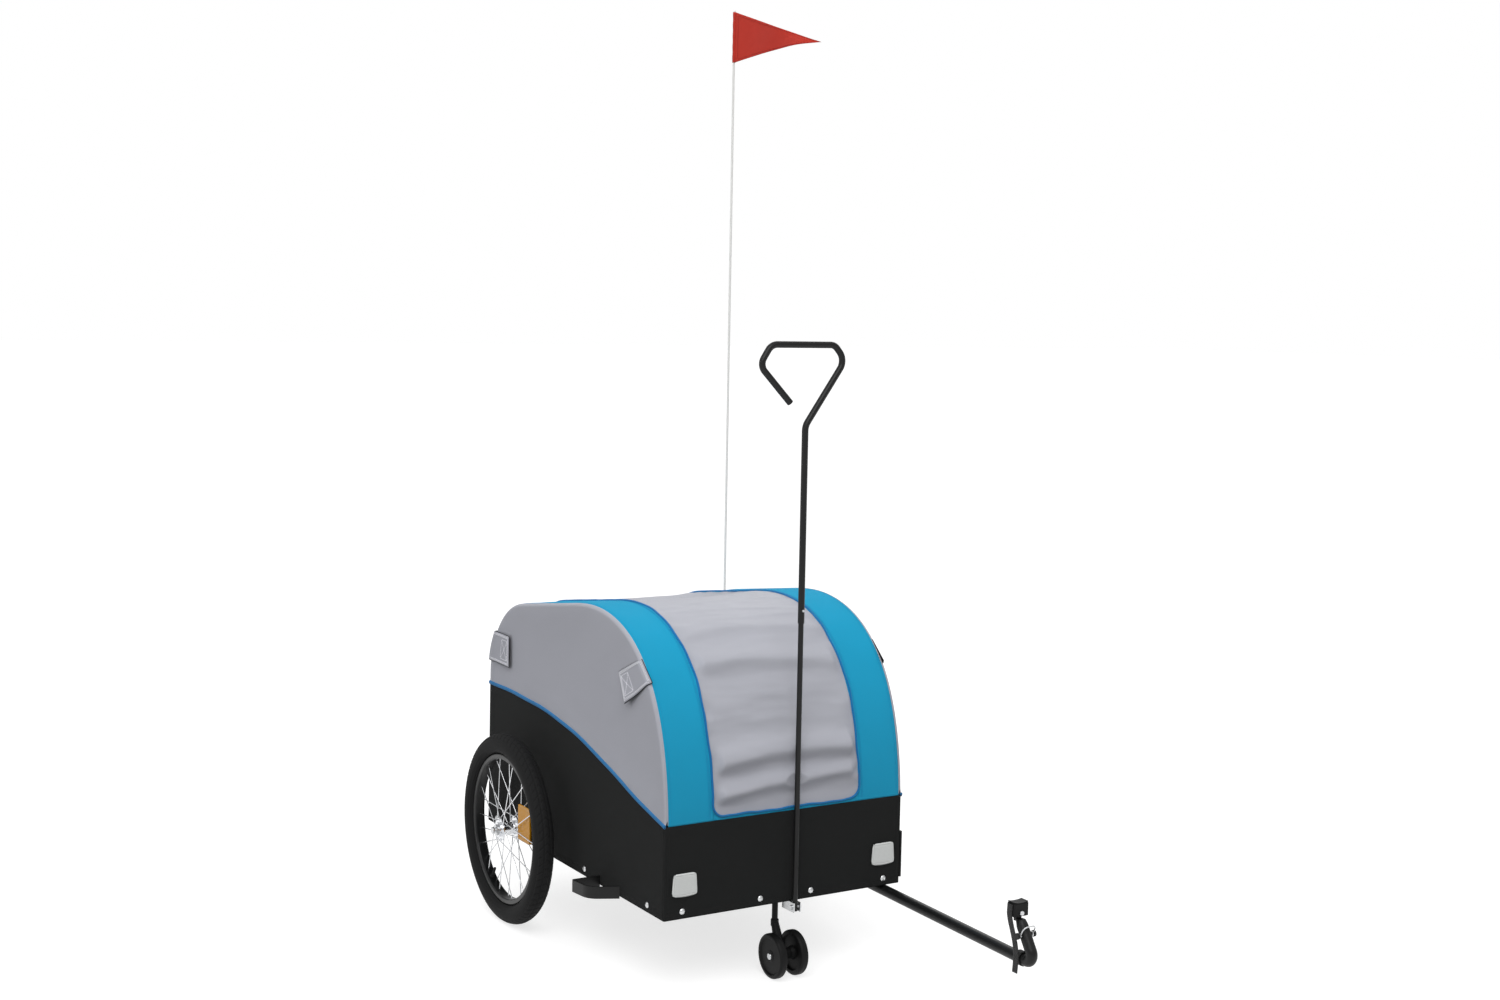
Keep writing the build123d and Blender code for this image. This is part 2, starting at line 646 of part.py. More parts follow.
def make_drawbar_bolt():
    low_z = BRACKET_LOW_Z
    top_z = RAIL_Z - RAIL / 2
    shank = rod((BAR_X, BAR_PIVOT_Y, low_z - 1), (BAR_X, BAR_PIVOT_Y, top_z), 4)
    head = extrude(Pos(BAR_X, BAR_PIVOT_Y, low_z - 6) * RegularPolygon(7.5, 6), amount=6)
    return shank + head


def make_hitch_neck():
    """A plug in the top of the tow bar with a tongue that carries the coupler."""
    plug = rod(on_neck(NECK_TUBE - 34), on_neck(NECK_TUBE), BAR_R - BAR_WALL - RUN_GAP)
    axis = Vector(0, math.sin(LEAN), math.cos(LEAN))
    lower = Plane(Vector(*on_neck(NECK_TUBE)), z_dir=axis) * Circle(BAR_R)
    upper = Plane(Vector(*on_neck(NECK_TUBE + 14)), z_dir=axis) * RectangleRounded(17, 12, 4)
    cone = loft([lower, upper])
    _, pin_y, pin_z = on_neck(COUPLER_S)
    shoulder_z = pin_z - COUPLER_LOW - 5
    cone -= block(BAR_X - 30, BAR_X + 30, pin_y - 40, pin_y + 40, shoulder_z, pin_z + 60)
    tongue = rod((BAR_X, pin_y - 4, pin_z), (BAR_X, pin_y + 4, pin_z), TONGUE_R)
    tongue += block(BAR_X - TONGUE_R, BAR_X + TONGUE_R, pin_y - 4, pin_y + 4, pin_z - 16, pin_z)
    neck = plug + cone + tongue
    lock = NECK_TUBE - 18
    neck -= rod(on_neck(lock, x=BAR_X - 30), on_neck(lock, x=BAR_X + 30), 3.02)
    return neck - rod((BAR_X, pin_y - 20, pin_z), (BAR_X, pin_y + 20, pin_z), 3 + RUN_GAP)


def make_hitch_block():
    """The coupler: a rounded block with a slot for the tongue and a bore for the cycle's axle."""
    _, pin_y, pin_z = on_neck(COUPLER_S)
    low_z = pin_z - COUPLER_LOW
    bore_z = pin_z + COUPLER_BORE_Z
    body = block(BAR_X - 17, BAR_X + 17, pin_y - 11, pin_y + 11, low_z, pin_z + COUPLER_TOP)
    body = fillet(body.edges().filter_by(Axis.Z), 3)
    body = fillet(body.edges().group_by(Axis.Z)[-1], 2)
    slot_top = pin_z + TONGUE_R + 0.6
    body -= block(BAR_X - 20, BAR_X + 20, pin_y - 4.3, pin_y + 4.3, low_z - 1, slot_top)
    body -= rod((BAR_X - 20, pin_y, bore_z), (BAR_X + 20, pin_y, bore_z), COUPLER_BORE_R)
    return body - rod((BAR_X, pin_y - 20, pin_z), (BAR_X, pin_y + 20, pin_z), 3.02)


def make_hitch_bolt():
    _, pin_y, pin_z = on_neck(COUPLER_S)
    shank = rod((BAR_X, pin_y - 11, pin_z), (BAR_X, pin_y + 11, pin_z), 3)
    head = rod((BAR_X, pin_y - 14, pin_z), (BAR_X, pin_y - 11, pin_z), 4.6)
    nut = rod((BAR_X, pin_y + 11, pin_z), (BAR_X, pin_y + 14, pin_z), 4.6)
    return shank + nut + fillet(head.edges().group_by(Axis.Y)[0], 1.2)


def make_hitch_pin():
    """The cross pin that locks the plug in the tow bar, with a flat lug at each end."""
    lock = NECK_TUBE - 18
    reach = BAR_R + 6
    pin = rod(on_neck(lock, x=BAR_X - reach), on_neck(lock, x=BAR_X + reach), 3)
    lug = rod(on_neck(lock, x=BAR_X - reach - 4), on_neck(lock, x=BAR_X - reach), 6)
    far_lug = rod(on_neck(lock, x=BAR_X + reach), on_neck(lock, x=BAR_X + reach + 4), 6)
    return pin + lug + far_lug


def make_wire_clip():
    """A bail of spring wire, held on the ends of the pin, that goes round the front."""
    lock = NECK_TUBE - 18
    wire_r = 1.2
    eye_x = BAR_R + 3.2
    bow = 21.0
    points = [on_neck(lock, -4.5, BAR_X - eye_x), on_neck(lock + 9, -bow, BAR_X - eye_x),
              on_neck(lock + 9, -bow, BAR_X + eye_x), on_neck(lock, -4.5, BAR_X + eye_x)]
    wire = bent_tube(points, [9, 9], wire_r)
    for middle in (BAR_X - eye_x, BAR_X + eye_x):
        low_end = on_neck(lock, x=middle - wire_r)
        high_end = on_neck(lock, x=middle + wire_r)
        wire += ring(low_end, high_end, 5, 3 + RUN_GAP)
    return wire


def make_safety_strap():
    """Flat webbing beside the neck, from under the coupler down to a loop round the tow bar."""
    loop_y = -998.0
    width = 14.0
    thick = 1.5
    bar_z = BAR_BEND_Z + (loop_y - BAR_BEND_Y) * (BAR_START_Z - BAR_BEND_Z) / (BAR_START_Y - BAR_BEND_Y)
    outer = block(-BAR_R - 2, BAR_R + 2, -width / 2, width / 2, -BAR_R - 2, BAR_R + 2)
    outer = fillet(outer.edges().filter_by(Axis.Y), BAR_R)
    hole = rod((0, -width, 0), (0, width, 0), BAR_R + 0.4)
    loop = Pos(BAR_X, loop_y, bar_z) * (outer - hole)
    side_x = BAR_X - BAR_R - 2
    foot = (side_x, loop_y, bar_z + 4)
    head = (side_x - 4, loop_y + 14, 194)
    run = Vector(*head) - Vector(*foot)
    seat = Plane(Vector(*foot), x_dir=(0, 1, 0), z_dir=run)
    return loop + extrude(seat * Rectangle(width, thick), amount=run.length)


# ---- flag -------------------------------------------------------------------------------

def make_flag_holder():
    """A moulded cup with a flange, bolted outside the left side panel."""
    low_z = 175.0
    high_z = 235.0
    cup = rod((POLE_X, POLE_Y, low_z), (POLE_X, POLE_Y, high_z), 6.5)
    web = block(BODY_X, POLE_X, POLE_Y - 4, POLE_Y + 4, low_z, high_z)
    flange = block(BODY_X, BODY_X + 3, POLE_Y - 14, POLE_Y + 14, low_z + 4, high_z - 4)
    bore = rod((POLE_X, POLE_Y, low_z + 4), (POLE_X, POLE_Y, high_z + 1), POLE_R + RUN_GAP)
    return cup + web + flange - bore


def make_flag_pole():
    foot_z = 179.2
    pole = rod((POLE_X, POLE_Y, foot_z), (POLE_X, POLE_Y, POLE_TOP_Z), POLE_R)
    return fillet(pole.edges().group_by(Axis.Z)[-1], 1.5)


def make_flag():
    """A triangular pennant with a sleeve on the pole; its lower edge is slightly hollow."""
    thick = 1.0
    top_z = POLE_TOP_Z - 4
    fly = Vector(FLAG_TIP_X - POLE_X, FLAG_TIP_Y - POLE_Y, 0)
    length = fly.length
    plane = Plane(Vector(POLE_X, POLE_Y, 0), x_dir=fly, z_dir=fly.cross(Vector(0, 0, 1)))
    tip = (length, top_z - 0.72 * FLAG_HOIST)
    low = (POLE_R + 0.1, top_z - FLAG_HOIST)
    high = (POLE_R + 0.1, top_z)
    edge = ThreePointArc(low, (0.55 * length, top_z - 0.80 * FLAG_HOIST), tip)
    outline = edge + Line(tip, high) + Line(high, low)
    cloth = extrude(plane * make_face(outline), amount=thick / 2, both=True)
    low_ring = (POLE_X, POLE_Y, top_z - FLAG_HOIST)
    sleeve = ring(low_ring, (POLE_X, POLE_Y, top_z), POLE_R + 1.2, POLE_R + 0.1)
    return cloth + sleeve


# ---- small pieces -----------------------------------------------------------------------

def make_corner_plate():
    """A plastic guard round the front left corner of the body."""
    return block(BODY_X, BODY_X + 4, FRONT_Y, FRONT_Y + 40, 163, 257)


def make_all():
    save("side_rails", make_side_rails())
    save("cross_rails", make_cross_rails())
    save("side_hoops", both_sides(make_hoop()))
    save("hoop_bars", make_hoop_bars())
    save("axle_receivers", both_sides(make_axle_receiver()))
    save("stub_axles", both_sides(make_stub_axle()))
    save("floor_board", make_floor_board())
    save("tub_front", make_tub_front())
    save("tub_rear", make_tub_rear())
    save("tub_sides", both_sides(make_tub_side()))
    save("side_panels", both_sides(make_side_panel()))
    save("canopy_bands", both_sides(make_band()))
    save("canopy_cover", make_cover())
    save("side_piping", both_sides(make_side_piping()))
    save("cover_piping", make_cover_piping())
    save("front_tabs", both_sides(make_front_tab()))
    save("rear_flap", make_rear_flap())
    save("rear_tabs", both_sides(make_rear_tab()))
    save("front_reflectors", both_sides(make_front_reflector()))
    save("panel_bolts", make_panel_bolts())
    save("wheel_guards", both_sides(make_wheel_guard()))
    save("castor_socket", make_castor_socket())
    save("castor_fork", make_castor_fork())
    castor_wheel = make_castor_wheel()
    save("castor_wheel_left", castor_wheel)
    save("castor_wheel_right", mirrored(castor_wheel))
    save("castor_bolt", make_castor_bolt())
    makers = {"tyre": make_tyre, "rim": make_rim, "hub": make_hub, "bearings": make_bearings,
              "spokes": make_spokes, "valve": make_valve, "wheel_reflector": make_wheel_reflector,
              "release_button": make_release_button}
    for name, maker in makers.items():
        piece = maker()
        save(f"{name}_left", piece)
        save(f"{name}_right", mirrored(piece))
    save("handle_bracket", make_handle_bracket())
    save("handle_bolt", make_handle_bolt())
    save("handle_lower", make_handle_lower())
    save("handle_upper", make_handle_upper())
    save("handle_button", make_handle_button())
    save("drawbar_bracket", make_drawbar_bracket())
    save("drawbar_bolt", make_drawbar_bolt())
    save("drawbar", make_drawbar())
    save("hitch_neck", make_hitch_neck())
    save("hitch_block", make_hitch_block())
    save("hitch_bolt", make_hitch_bolt())
    save("hitch_pin", make_hitch_pin())
    save("wire_clip", make_wire_clip())
    save("safety_strap", make_safety_strap())
    save("flag_holder", make_flag_holder())
    save("flag_pole", make_flag_pole())
    save("flag", make_flag())
    save("corner_plate", make_corner_plate())


make_all()
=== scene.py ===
import json
import math

import bmesh
import bpy
import numpy as np
from mathutils import Matrix, Vector, noise


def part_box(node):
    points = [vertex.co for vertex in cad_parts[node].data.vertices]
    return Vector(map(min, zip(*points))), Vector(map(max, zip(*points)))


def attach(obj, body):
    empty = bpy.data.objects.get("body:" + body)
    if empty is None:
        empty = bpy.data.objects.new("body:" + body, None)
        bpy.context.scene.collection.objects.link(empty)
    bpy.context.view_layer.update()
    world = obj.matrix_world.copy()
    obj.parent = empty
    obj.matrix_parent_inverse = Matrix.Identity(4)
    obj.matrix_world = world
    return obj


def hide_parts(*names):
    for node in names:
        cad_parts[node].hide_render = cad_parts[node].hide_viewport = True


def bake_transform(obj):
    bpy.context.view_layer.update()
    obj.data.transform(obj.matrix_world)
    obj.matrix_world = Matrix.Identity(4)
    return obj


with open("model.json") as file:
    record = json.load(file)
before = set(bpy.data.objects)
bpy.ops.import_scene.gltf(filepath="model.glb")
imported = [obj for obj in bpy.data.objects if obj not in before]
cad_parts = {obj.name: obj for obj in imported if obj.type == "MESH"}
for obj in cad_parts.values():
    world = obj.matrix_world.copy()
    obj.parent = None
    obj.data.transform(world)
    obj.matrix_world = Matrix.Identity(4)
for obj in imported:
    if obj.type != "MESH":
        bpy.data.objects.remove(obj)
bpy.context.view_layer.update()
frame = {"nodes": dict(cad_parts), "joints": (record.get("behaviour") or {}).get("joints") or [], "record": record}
NODES = frame["nodes"]
JOINTS = {joint["name"]: joint for joint in frame["joints"]}

# Metres, in the trailer's frame: +Z up, the front towards -Y, the trailer's left side at +X.
MM = 0.001
HUB_LOW, HUB_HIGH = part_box("hub_left")
AXLE = (HUB_LOW + HUB_HIGH) / 2
BODY_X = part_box("tub_sides")[1].x
BASE_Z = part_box("tub_sides")[0].z
FRONT_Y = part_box("tub_front")[0].y
FRONT_TOP_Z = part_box("tub_front")[1].z
REAR_BASE_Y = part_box("tub_rear")[1].y
REAR_TOP_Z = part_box("tub_rear")[1].z
SEAM_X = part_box("canopy_cover")[1].x
HINGE = Vector(JOINTS["rear_flap_open"]["pos_m"])

CLOTH = 1.1 * MM
EDGE_R = 7 * MM
SAG = 37 * MM
SAG_FRONT_Y = AXLE.y - 0.300
FOOT = 6.5 * MM
CORNER_R = 26 * MM
PIPING_R = 2.3 * MM
BAR_ROOM = 2.5 * MM
TAB_ROOM = 4 * MM


# ---- curves and grids -------------------------------------------------------------------

def hull(points):
    """The convex hull of (y, z) points as a loop that starts at the lowest y and goes over the top."""
    def chain(ordered):
        kept = []
        for p in ordered:
            while len(kept) > 1:
                a, b = kept[-2], kept[-1]
                if (b[0] - a[0]) * (p[1] - a[1]) - (b[1] - a[1]) * (p[0] - a[0]) < -1e-9:
                    break
                kept.pop()
            kept.append(p)
        return kept[:-1]
    ordered = sorted(points)
    return chain(ordered) + chain(ordered[::-1])


class Curve:
    """A smooth curve through points, read by the distance along it."""

    def __init__(self, points, per_span=12):
        p = np.array(points, float)
        p = np.vstack([2 * p[0] - p[1], p, 2 * p[-1] - p[-2]])
        t = np.linspace(0, 1, per_span, endpoint=False)[:, None]
        spans = []
        for a, b, c, d in zip(p, p[1:], p[2:], p[3:]):
            span = np.linalg.norm(c - b)
            tangent_b = (c - a) * span / (span + np.linalg.norm(b - a))
            tangent_c = (d - b) * span / (span + np.linalg.norm(d - c))
            spans.append((2 * t**3 - 3 * t**2 + 1) * b + (t**3 - 2 * t**2 + t) * tangent_b
                         + (3 * t**2 - 2 * t**3) * c + (t**3 - t**2) * tangent_c)
        self.points = np.vstack(spans + [p[-2:-1]])
        self.along = lengths(self.points, 0)
        self.length = float(self.along[-1])

    def at(self, s):
        return np.stack([np.interp(s, self.along, column) for column in self.points.T], axis=-1)

    def heading(self, s, step=2 * MM):
        ahead = self.at(np.minimum(s + step, self.length))
        step_vector = ahead - self.at(np.maximum(s - step, 0))
        return step_vector / np.linalg.norm(step_vector, axis=-1, keepdims=True)

    def where(self, axis, value):
        """The first distance at which a coordinate reaches a value."""
        column = self.points[:, axis]
        hit = int(np.argmax(column >= value))
        share = (value - column[hit - 1]) / (column[hit] - column[hit - 1])
        return float(self.along[hit - 1] + share * (self.along[hit] - self.along[hit - 1]))


def smooth_step(x, low=0.0, high=1.0):
    t = np.clip((np.asarray(x, float) - low) / (high - low), 0, 1)
    return t * t * (3 - 2 * t)


def soft_noise(x, y, scale, seed):
    """Even noise between about -1 and 1 for arrays of places, in features of the given size."""
    x, y = np.broadcast_arrays(np.asarray(x, float), np.asarray(y, float))
    flat = [noise.noise(Vector((a / scale, b / scale, seed * 7.31)))
            for a, b in zip(x.ravel(), y.ravel())]
    return np.array(flat).reshape(x.shape)


def link(name, mesh, body, slot, replaces=(), material=None):
    """A mesh as a shown piece that rides on a body, in its slot's look or another material."""
    piece = bpy.data.objects.new(name, mesh)
    bpy.context.scene.collection.objects.link(piece)
    mesh.materials.append(material or LOOK[slot])
    for polygon in mesh.polygons:
        polygon.use_smooth = True
    if body:
        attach(piece, body)
    if replaces:
        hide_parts(*replaces)
    return piece


def mesh_of(name, vertices, faces, uvs=None):
    mesh = bpy.data.meshes.new(name)
    mesh.from_pydata([tuple(v) for v in vertices], [], faces)
    mesh.update()
    if uvs is not None:
        layer = mesh.uv_layers.new(name="UVMap")
        loops = np.zeros(len(mesh.loops), np.int32)
        mesh.loops.foreach_get("vertex_index", loops)
        layer.data.foreach_set("uv", np.asarray(uvs, np.float32)[loops].ravel())
    return mesh


def lengths(points, axis):
    """The distance along a path, or along each row or column of a grid, for every point."""
    steps = np.linalg.norm(np.diff(points, axis=axis), axis=-1)
    zero = np.zeros_like(np.take(steps, [0], axis=axis))
    return np.concatenate([zero, np.cumsum(steps, axis=axis)], axis=axis)


def xyz(x, y, z):
    """Coordinates, each an array or one number, as an array of points."""
    return np.stack(np.broadcast_arrays(x, y, z), axis=-1)


def grid_normals(points):
    down = np.gradient(points, axis=0)
    across = np.gradient(points, axis=1)
    normal = np.cross(across, down)
    size = np.linalg.norm(normal, axis=-1, keepdims=True)
    return normal / np.maximum(size, 1e-12)


def sheet_mesh(name, points, thickness=CLOTH, outwards=1):
    """A sheet with a real thickness from a grid of points on its outer face; UVs are in metres."""
    rows, columns = points.shape[:2]
    inner = points - outwards * thickness * grid_normals(points)
    uv = np.stack([lengths(points, 1), lengths(points, 0)], axis=-1).reshape(-1, 2)
    vertices = np.concatenate([points.reshape(-1, 3), inner.reshape(-1, 3)])
    count = rows * columns
    r, c = np.meshgrid(np.arange(rows - 1), np.arange(columns - 1), indexing="ij")
    a = (r * columns + c).ravel()
    quads = np.stack([a, a + 1, a + columns + 1, a + columns], axis=1)
    if outwards < 0:
        quads = quads[:, ::-1]
    edge = [*range(columns), *range(2 * columns - 1, count, columns),
            *range(count - 2, count - columns - 1, -1), *range(count - 2 * columns, 0, -columns)]
    faces = quads.tolist() + (quads[:, ::-1] + count).tolist()
    for i, j in zip(edge, edge[1:] + edge[:1]):
        rim = [j, i, i + count, j + count]
        faces.append(rim if outwards > 0 else rim[::-1])
    return mesh_of(name, vertices, faces, np.vstack([uv, uv]))


def skin(rings, corners, base=0, closed=False):
    """Quads between rings of corners; an open run gets a cap at each end, a closed one joins up."""
    faces = []
    for i in range(rings if closed else rings - 1):
        here, there = base + i * corners, base + (i + 1) % rings * corners
        for k in range(corners):
            m = (k + 1) % corners
            faces.append([here + k, here + m, there + m, there + k])
    if not closed:
        faces.append([base + k for k in range(corners)][::-1])
        faces.append([base + (rings - 1) * corners + k for k in range(corners)])
    return faces


def tube_mesh(name, path, radius, sides=12):
    """A round tube along a path, with closed ends."""
    path = np.asarray(path, float)
    radius = np.broadcast_to(np.asarray(radius, float), (len(path),))
    tangent = np.gradient(path, axis=0)
    tangent /= np.linalg.norm(tangent, axis=1, keepdims=True)
    side = np.cross(tangent[0], [0, 0, 1] if abs(tangent[0][2]) < 0.9 else [1, 0, 0])
    steady = []
    for ahead in tangent:
        side = side - ahead * np.dot(side, ahead)
        side /= np.linalg.norm(side)
        steady.append(side)
    steady = np.array(steady)
    turn = np.linspace(0, 2 * math.pi, sides + 1)
    ring = (np.cos(turn)[None, :, None] * steady[:, None]
            + np.sin(turn)[None, :, None] * np.cross(tangent, steady)[:, None])
    points = path[:, None] + radius[:, None, None] * ring
    around = turn[None] * radius.mean()
    uv = np.stack(np.broadcast_arrays(around, lengths(path, 0)[:, None]), axis=-1)
    count, columns = len(path), sides + 1
    faces = []
    for i in range(count - 1):
        for k in range(i * columns, i * columns + sides):
            faces.append([k, k + 1, k + columns + 1, k + columns])
    faces.append(list(range(sides))[::-1])
    faces.append([(count - 1) * columns + k for k in range(sides)])
    mesh = mesh_of(name, points.reshape(-1, 3), faces, uv.reshape(-1, 2))
    weld(mesh)
    return mesh


def weld(mesh):
    """Points in the same place become one, and all faces look outwards."""
    work = bmesh.new()
    work.from_mesh(mesh)
    bmesh.ops.remove_doubles(work, verts=work.verts, dist=0.001 * MM)
    bmesh.ops.recalc_face_normals(work, faces=work.faces)
    work.to_mesh(mesh)
    work.free()


def joined(name, meshes):
    """Several meshes as one."""
    vertices, faces, uvs = [], [], []
    for mesh in meshes:
        base = len(vertices)
        vertices += [tuple(v.co) for v in mesh.vertices]
        faces += [[base + i for i in p.vertices] for p in mesh.polygons]
        uv = np.zeros((len(mesh.vertices), 2))
        if mesh.uv_layers:
            for loop, data in zip(mesh.loops, mesh.uv_layers[0].data):
                uv[loop.vertex_index] = data.uv
        uvs.append(uv)
    return mesh_of(name, vertices, faces, np.vstack(uvs))


def stitch_mesh(name, path, normals, pitch=3.6 * MM, length=2.5 * MM, radius=0.33 * MM):
    """A run of single stitches along a path, each a small bead that dips into the cloth."""
    path, normals = np.asarray(path, float), np.asarray(normals, float)
    along = lengths(path, 0)
    starts = np.arange(pitch / 2, along[-1] - length, pitch)
    corners = 5
    share = np.array([0.0, 0.28, 0.72, 1.0])
    swell = np.array([0.45, 1.0, 1.0, 0.45])
    lift = np.array([-0.6, 0.55, 0.55, -0.6])
    vertices, faces = [], []
    for start in starts:
        s = start + share * length
        centre = np.stack([np.interp(s, along, column) for column in path.T], axis=1)
        normal = np.stack([np.interp(s, along, column) for column in normals.T], axis=1)
        heading = centre[-1] - centre[0]
        side = np.cross(heading, normal[0])
        side /= np.linalg.norm(side)
        faces += skin(len(share), corners, len(vertices))
        for i in range(len(share)):
            for k in range(corners):
                turn = 2 * math.pi * k / corners
                vertices.append(centre[i] + normal[i] * radius * lift[i]
                                + radius * swell[i] * (math.cos(turn) * side + math.sin(turn) * normal[i]))
    return mesh_of(name, vertices, faces)


# ---- materials --------------------------------------------------------------------------

class Shader:
    """A material's node tree, with short calls for the nodes that it is made of."""

    def __init__(self, name, rough, **constants):
        self.material = bpy.data.materials.new(name)
        self.material.use_nodes = True
        self.tree = self.material.node_tree
        self.shader = self.tree.nodes["Principled BSDF"]
        self.shader.inputs["Roughness"].default_value = rough
        for socket, value in constants.items():
            self.shader.inputs[socket.replace("_", " ")].default_value = value

    def add(self, kind, inputs=(), **settings):
        node = self.tree.nodes.new(kind)
        for name, value in settings.items():
            setattr(node, name, value)
        for key, value in dict(inputs).items():
            if isinstance(value, bpy.types.NodeSocket):
                self.tree.links.new(value, node.inputs[key])
            else:
                node.inputs[key].default_value = value
        return node

    def math(self, operation, a, b=0.5):
        return self.add("ShaderNodeMath", {0: a, 1: b}, operation=operation).outputs[0]

    def place(self, uv):
        return self.add("ShaderNodeTexCoord").outputs["UV" if uv else "Object"]

    def noise(self, place, scale, detail=3.0, rough=0.5):
        inputs = {"Vector": place, "Scale": scale, "Detail": detail, "Roughness": rough}
        return self.add("ShaderNodeTexNoise", inputs).outputs["Fac"]

    def colour(self, factor, dark, light):
        ramp = self.add("ShaderNodeValToRGB", {"Fac": factor})
        ramp.color_ramp.elements[0].color = (*dark, 1)
        ramp.color_ramp.elements[1].color = (*light, 1)
        self.tree.links.new(ramp.outputs["Color"], self.shader.inputs["Base Color"])
        return ramp

    def roughness(self, factor, low, high):
        inputs = {"Value": factor, "To Min": low, "To Max": high}
        spread = self.add("ShaderNodeMapRange", inputs)
        self.tree.links.new(spread.outputs["Result"], self.shader.inputs["Roughness"])

    def bump(self, height, distance, strength=1.0):
        inputs = {"Height": height, "Distance": distance, "Strength": strength}
        bump = self.add("ShaderNodeBump", inputs)
        self.tree.links.new(bump.outputs["Normal"], self.shader.inputs["Normal"])


def tint(rgb, amount):
    return tuple(min(1.0, c * amount) for c in rgb)


def woven(name, rgb, pitch=0.9 * MM, contrast=0.16, rough=0.82, sheen=0.12, relief=0.22 * MM,
          shine=0.16):
    """A plain weave: threads pass over and under each other in a checker, with uneven dye."""
    s = Shader(name, rough, Sheen_Weight=sheen, Sheen_Roughness=0.5, Specular_IOR_Level=shine)
    place = s.place(uv=True)
    split = s.add("ShaderNodeSeparateXYZ", {"Vector": place})
    threads = []
    for axis in (0, 1):
        phase = s.math("MULTIPLY", split.outputs[axis], math.pi / pitch)
        threads.append(s.math("ABSOLUTE", s.math("SINE", phase)))
    over = s.add("ShaderNodeTexChecker", {"Vector": place, "Scale": 1 / pitch}).outputs["Fac"]
    warp = s.math("MULTIPLY", over, threads[0])
    weft = s.math("MULTIPLY", s.math("SUBTRACT", 1.0, over), threads[1])
    weave = s.math("ADD", warp, weft)
    slub = s.noise(place, 900, 2)
    dye = s.noise(place, 7, 4)
    tone = s.math("ADD", s.math("MULTIPLY", weave, 0.55), s.math("MULTIPLY", slub, 0.35))
    tone = s.math("ADD", tone, s.math("MULTIPLY", s.math("SUBTRACT", dye, 0.5), 0.55))
    s.colour(tone, tint(rgb, 1 - contrast), tint(rgb, 1 + contrast))
    s.roughness(slub, rough - 0.06, rough + 0.08)
    s.bump(s.math("ADD", weave, s.math("MULTIPLY", slub, 0.4)), relief)
    return s.material


def webbing(name, rgb):
    """Narrow woven webbing with a herringbone rib along its length."""
    s = Shader(name, 0.7, Sheen_Weight=0.15, Specular_IOR_Level=0.35)
    place = s.place(uv=True)
    split = s.add("ShaderNodeSeparateXYZ", {"Vector": place})
    across = s.math("PINGPONG", split.outputs[0], 2.6 * MM)
    slant = s.math("ADD", split.outputs[1], across)
    rib = s.math("ABSOLUTE", s.math("SINE", s.math("MULTIPLY", slant, math.pi / (1.1 * MM))))
    fibre = s.noise(place, 1400, 2)
    tone = s.math("ADD", s.math("MULTIPLY", rib, 0.7), s.math("MULTIPLY", fibre, 0.3))
    s.colour(tone, tint(rgb, 0.6), tint(rgb, 1.5))
    s.bump(rib, 0.3 * MM)
    return s.material


def painted(name, rgb, rough, grain=0.06 * MM, coat=0.0, scale=420, wear=0.25):
    """Powder coat or paint: a fine orange peel, and slightly worn, paler patches."""
    s = Shader(name, rough, Coat_Weight=coat, Coat_Roughness=0.18, Specular_IOR_Level=0.26)
    place = s.place(uv=False)
    peel = s.noise(place, scale, 3)
    patch = s.noise(place, 9, 5, 0.6)
    s.colour(patch, tint(rgb, 1 - wear), tint(rgb, 1 + wear))
    s.roughness(s.noise(place, 26, 4), rough - 0.08, rough + 0.1)
    s.bump(peel, grain)
    return s.material


def metal(name, rgb, rough, grain=0.03 * MM, brushed=False):
    s = Shader(name, rough, Metallic=1.0)
    place = s.place(uv=False)
    if brushed:
        stretch = {"Vector": place, "Scale": (60, 900, 60)}
        place = s.add("ShaderNodeMapping", stretch).outputs["Vector"]
        fine = s.noise(place, 1.0, 4)
    else:
        fine = s.noise(place, 260, 4)
    blotch = s.noise(s.place(uv=False), 45, 5, 0.6)
    s.colour(blotch, tint(rgb, 0.86), tint(rgb, 1.06))
    s.roughness(blotch, rough - 0.06, rough + 0.09)
    s.bump(fine, grain)
    return s.material


def rubber(name, rgb, rough=0.72):
    """Matte rubber with a fine skin and a little pale dust."""
    dust = 0.35
    s = Shader(name, rough, Specular_IOR_Level=0.2)
    place = s.place(uv=False)
    fine = s.noise(place, 1100, 3)
    cloud = s.noise(place, 22, 6, 0.65)
    s.colour(cloud, tint(rgb, 1 - dust), tint(rgb, 1 + dust))
    s.roughness(cloud, rough - 0.07, rough + 0.1)
    s.bump(fine, 0.08 * MM)
    return s.material


def moulded(name, rgb, rough=0.5):
    """Grained injection moulding."""
    s = Shader(name, rough, Specular_IOR_Level=0.18)
    place = s.place(uv=False)
    cells = s.add("ShaderNodeTexVoronoi", {"Vector": place, "Scale": 850.0}).outputs["Distance"]
    cloud = s.noise(place, 14, 4)
    s.colour(cloud, tint(rgb, 0.8), tint(rgb, 1.25))
    s.roughness(cloud, rough - 0.06, rough + 0.08)
    s.bump(cells, 0.07 * MM)
    return s.material


def lens(name, rgb, coat=0.5):
    """A clear moulded reflector over small corner prisms."""
    rough = 0.2
    s = Shader(name, rough, Coat_Weight=coat, Coat_Roughness=0.1, Specular_IOR_Level=0.3)
    place = s.place(uv=True)
    cell = s.add("ShaderNodeTexVoronoi", {"Vector": place, "Scale": 420.0, "Randomness": 0.0})
    tone = s.math("MULTIPLY", cell.outputs["Distance"], 1.3)
    s.colour(tone, tint(rgb, 1.08), tint(rgb, 0.74))
    s.roughness(s.noise(place, 60, 3), rough - 0.04, rough + 0.1)
    s.bump(cell.outputs["Distance"], 0.35 * MM, 0.6)
    return s.material


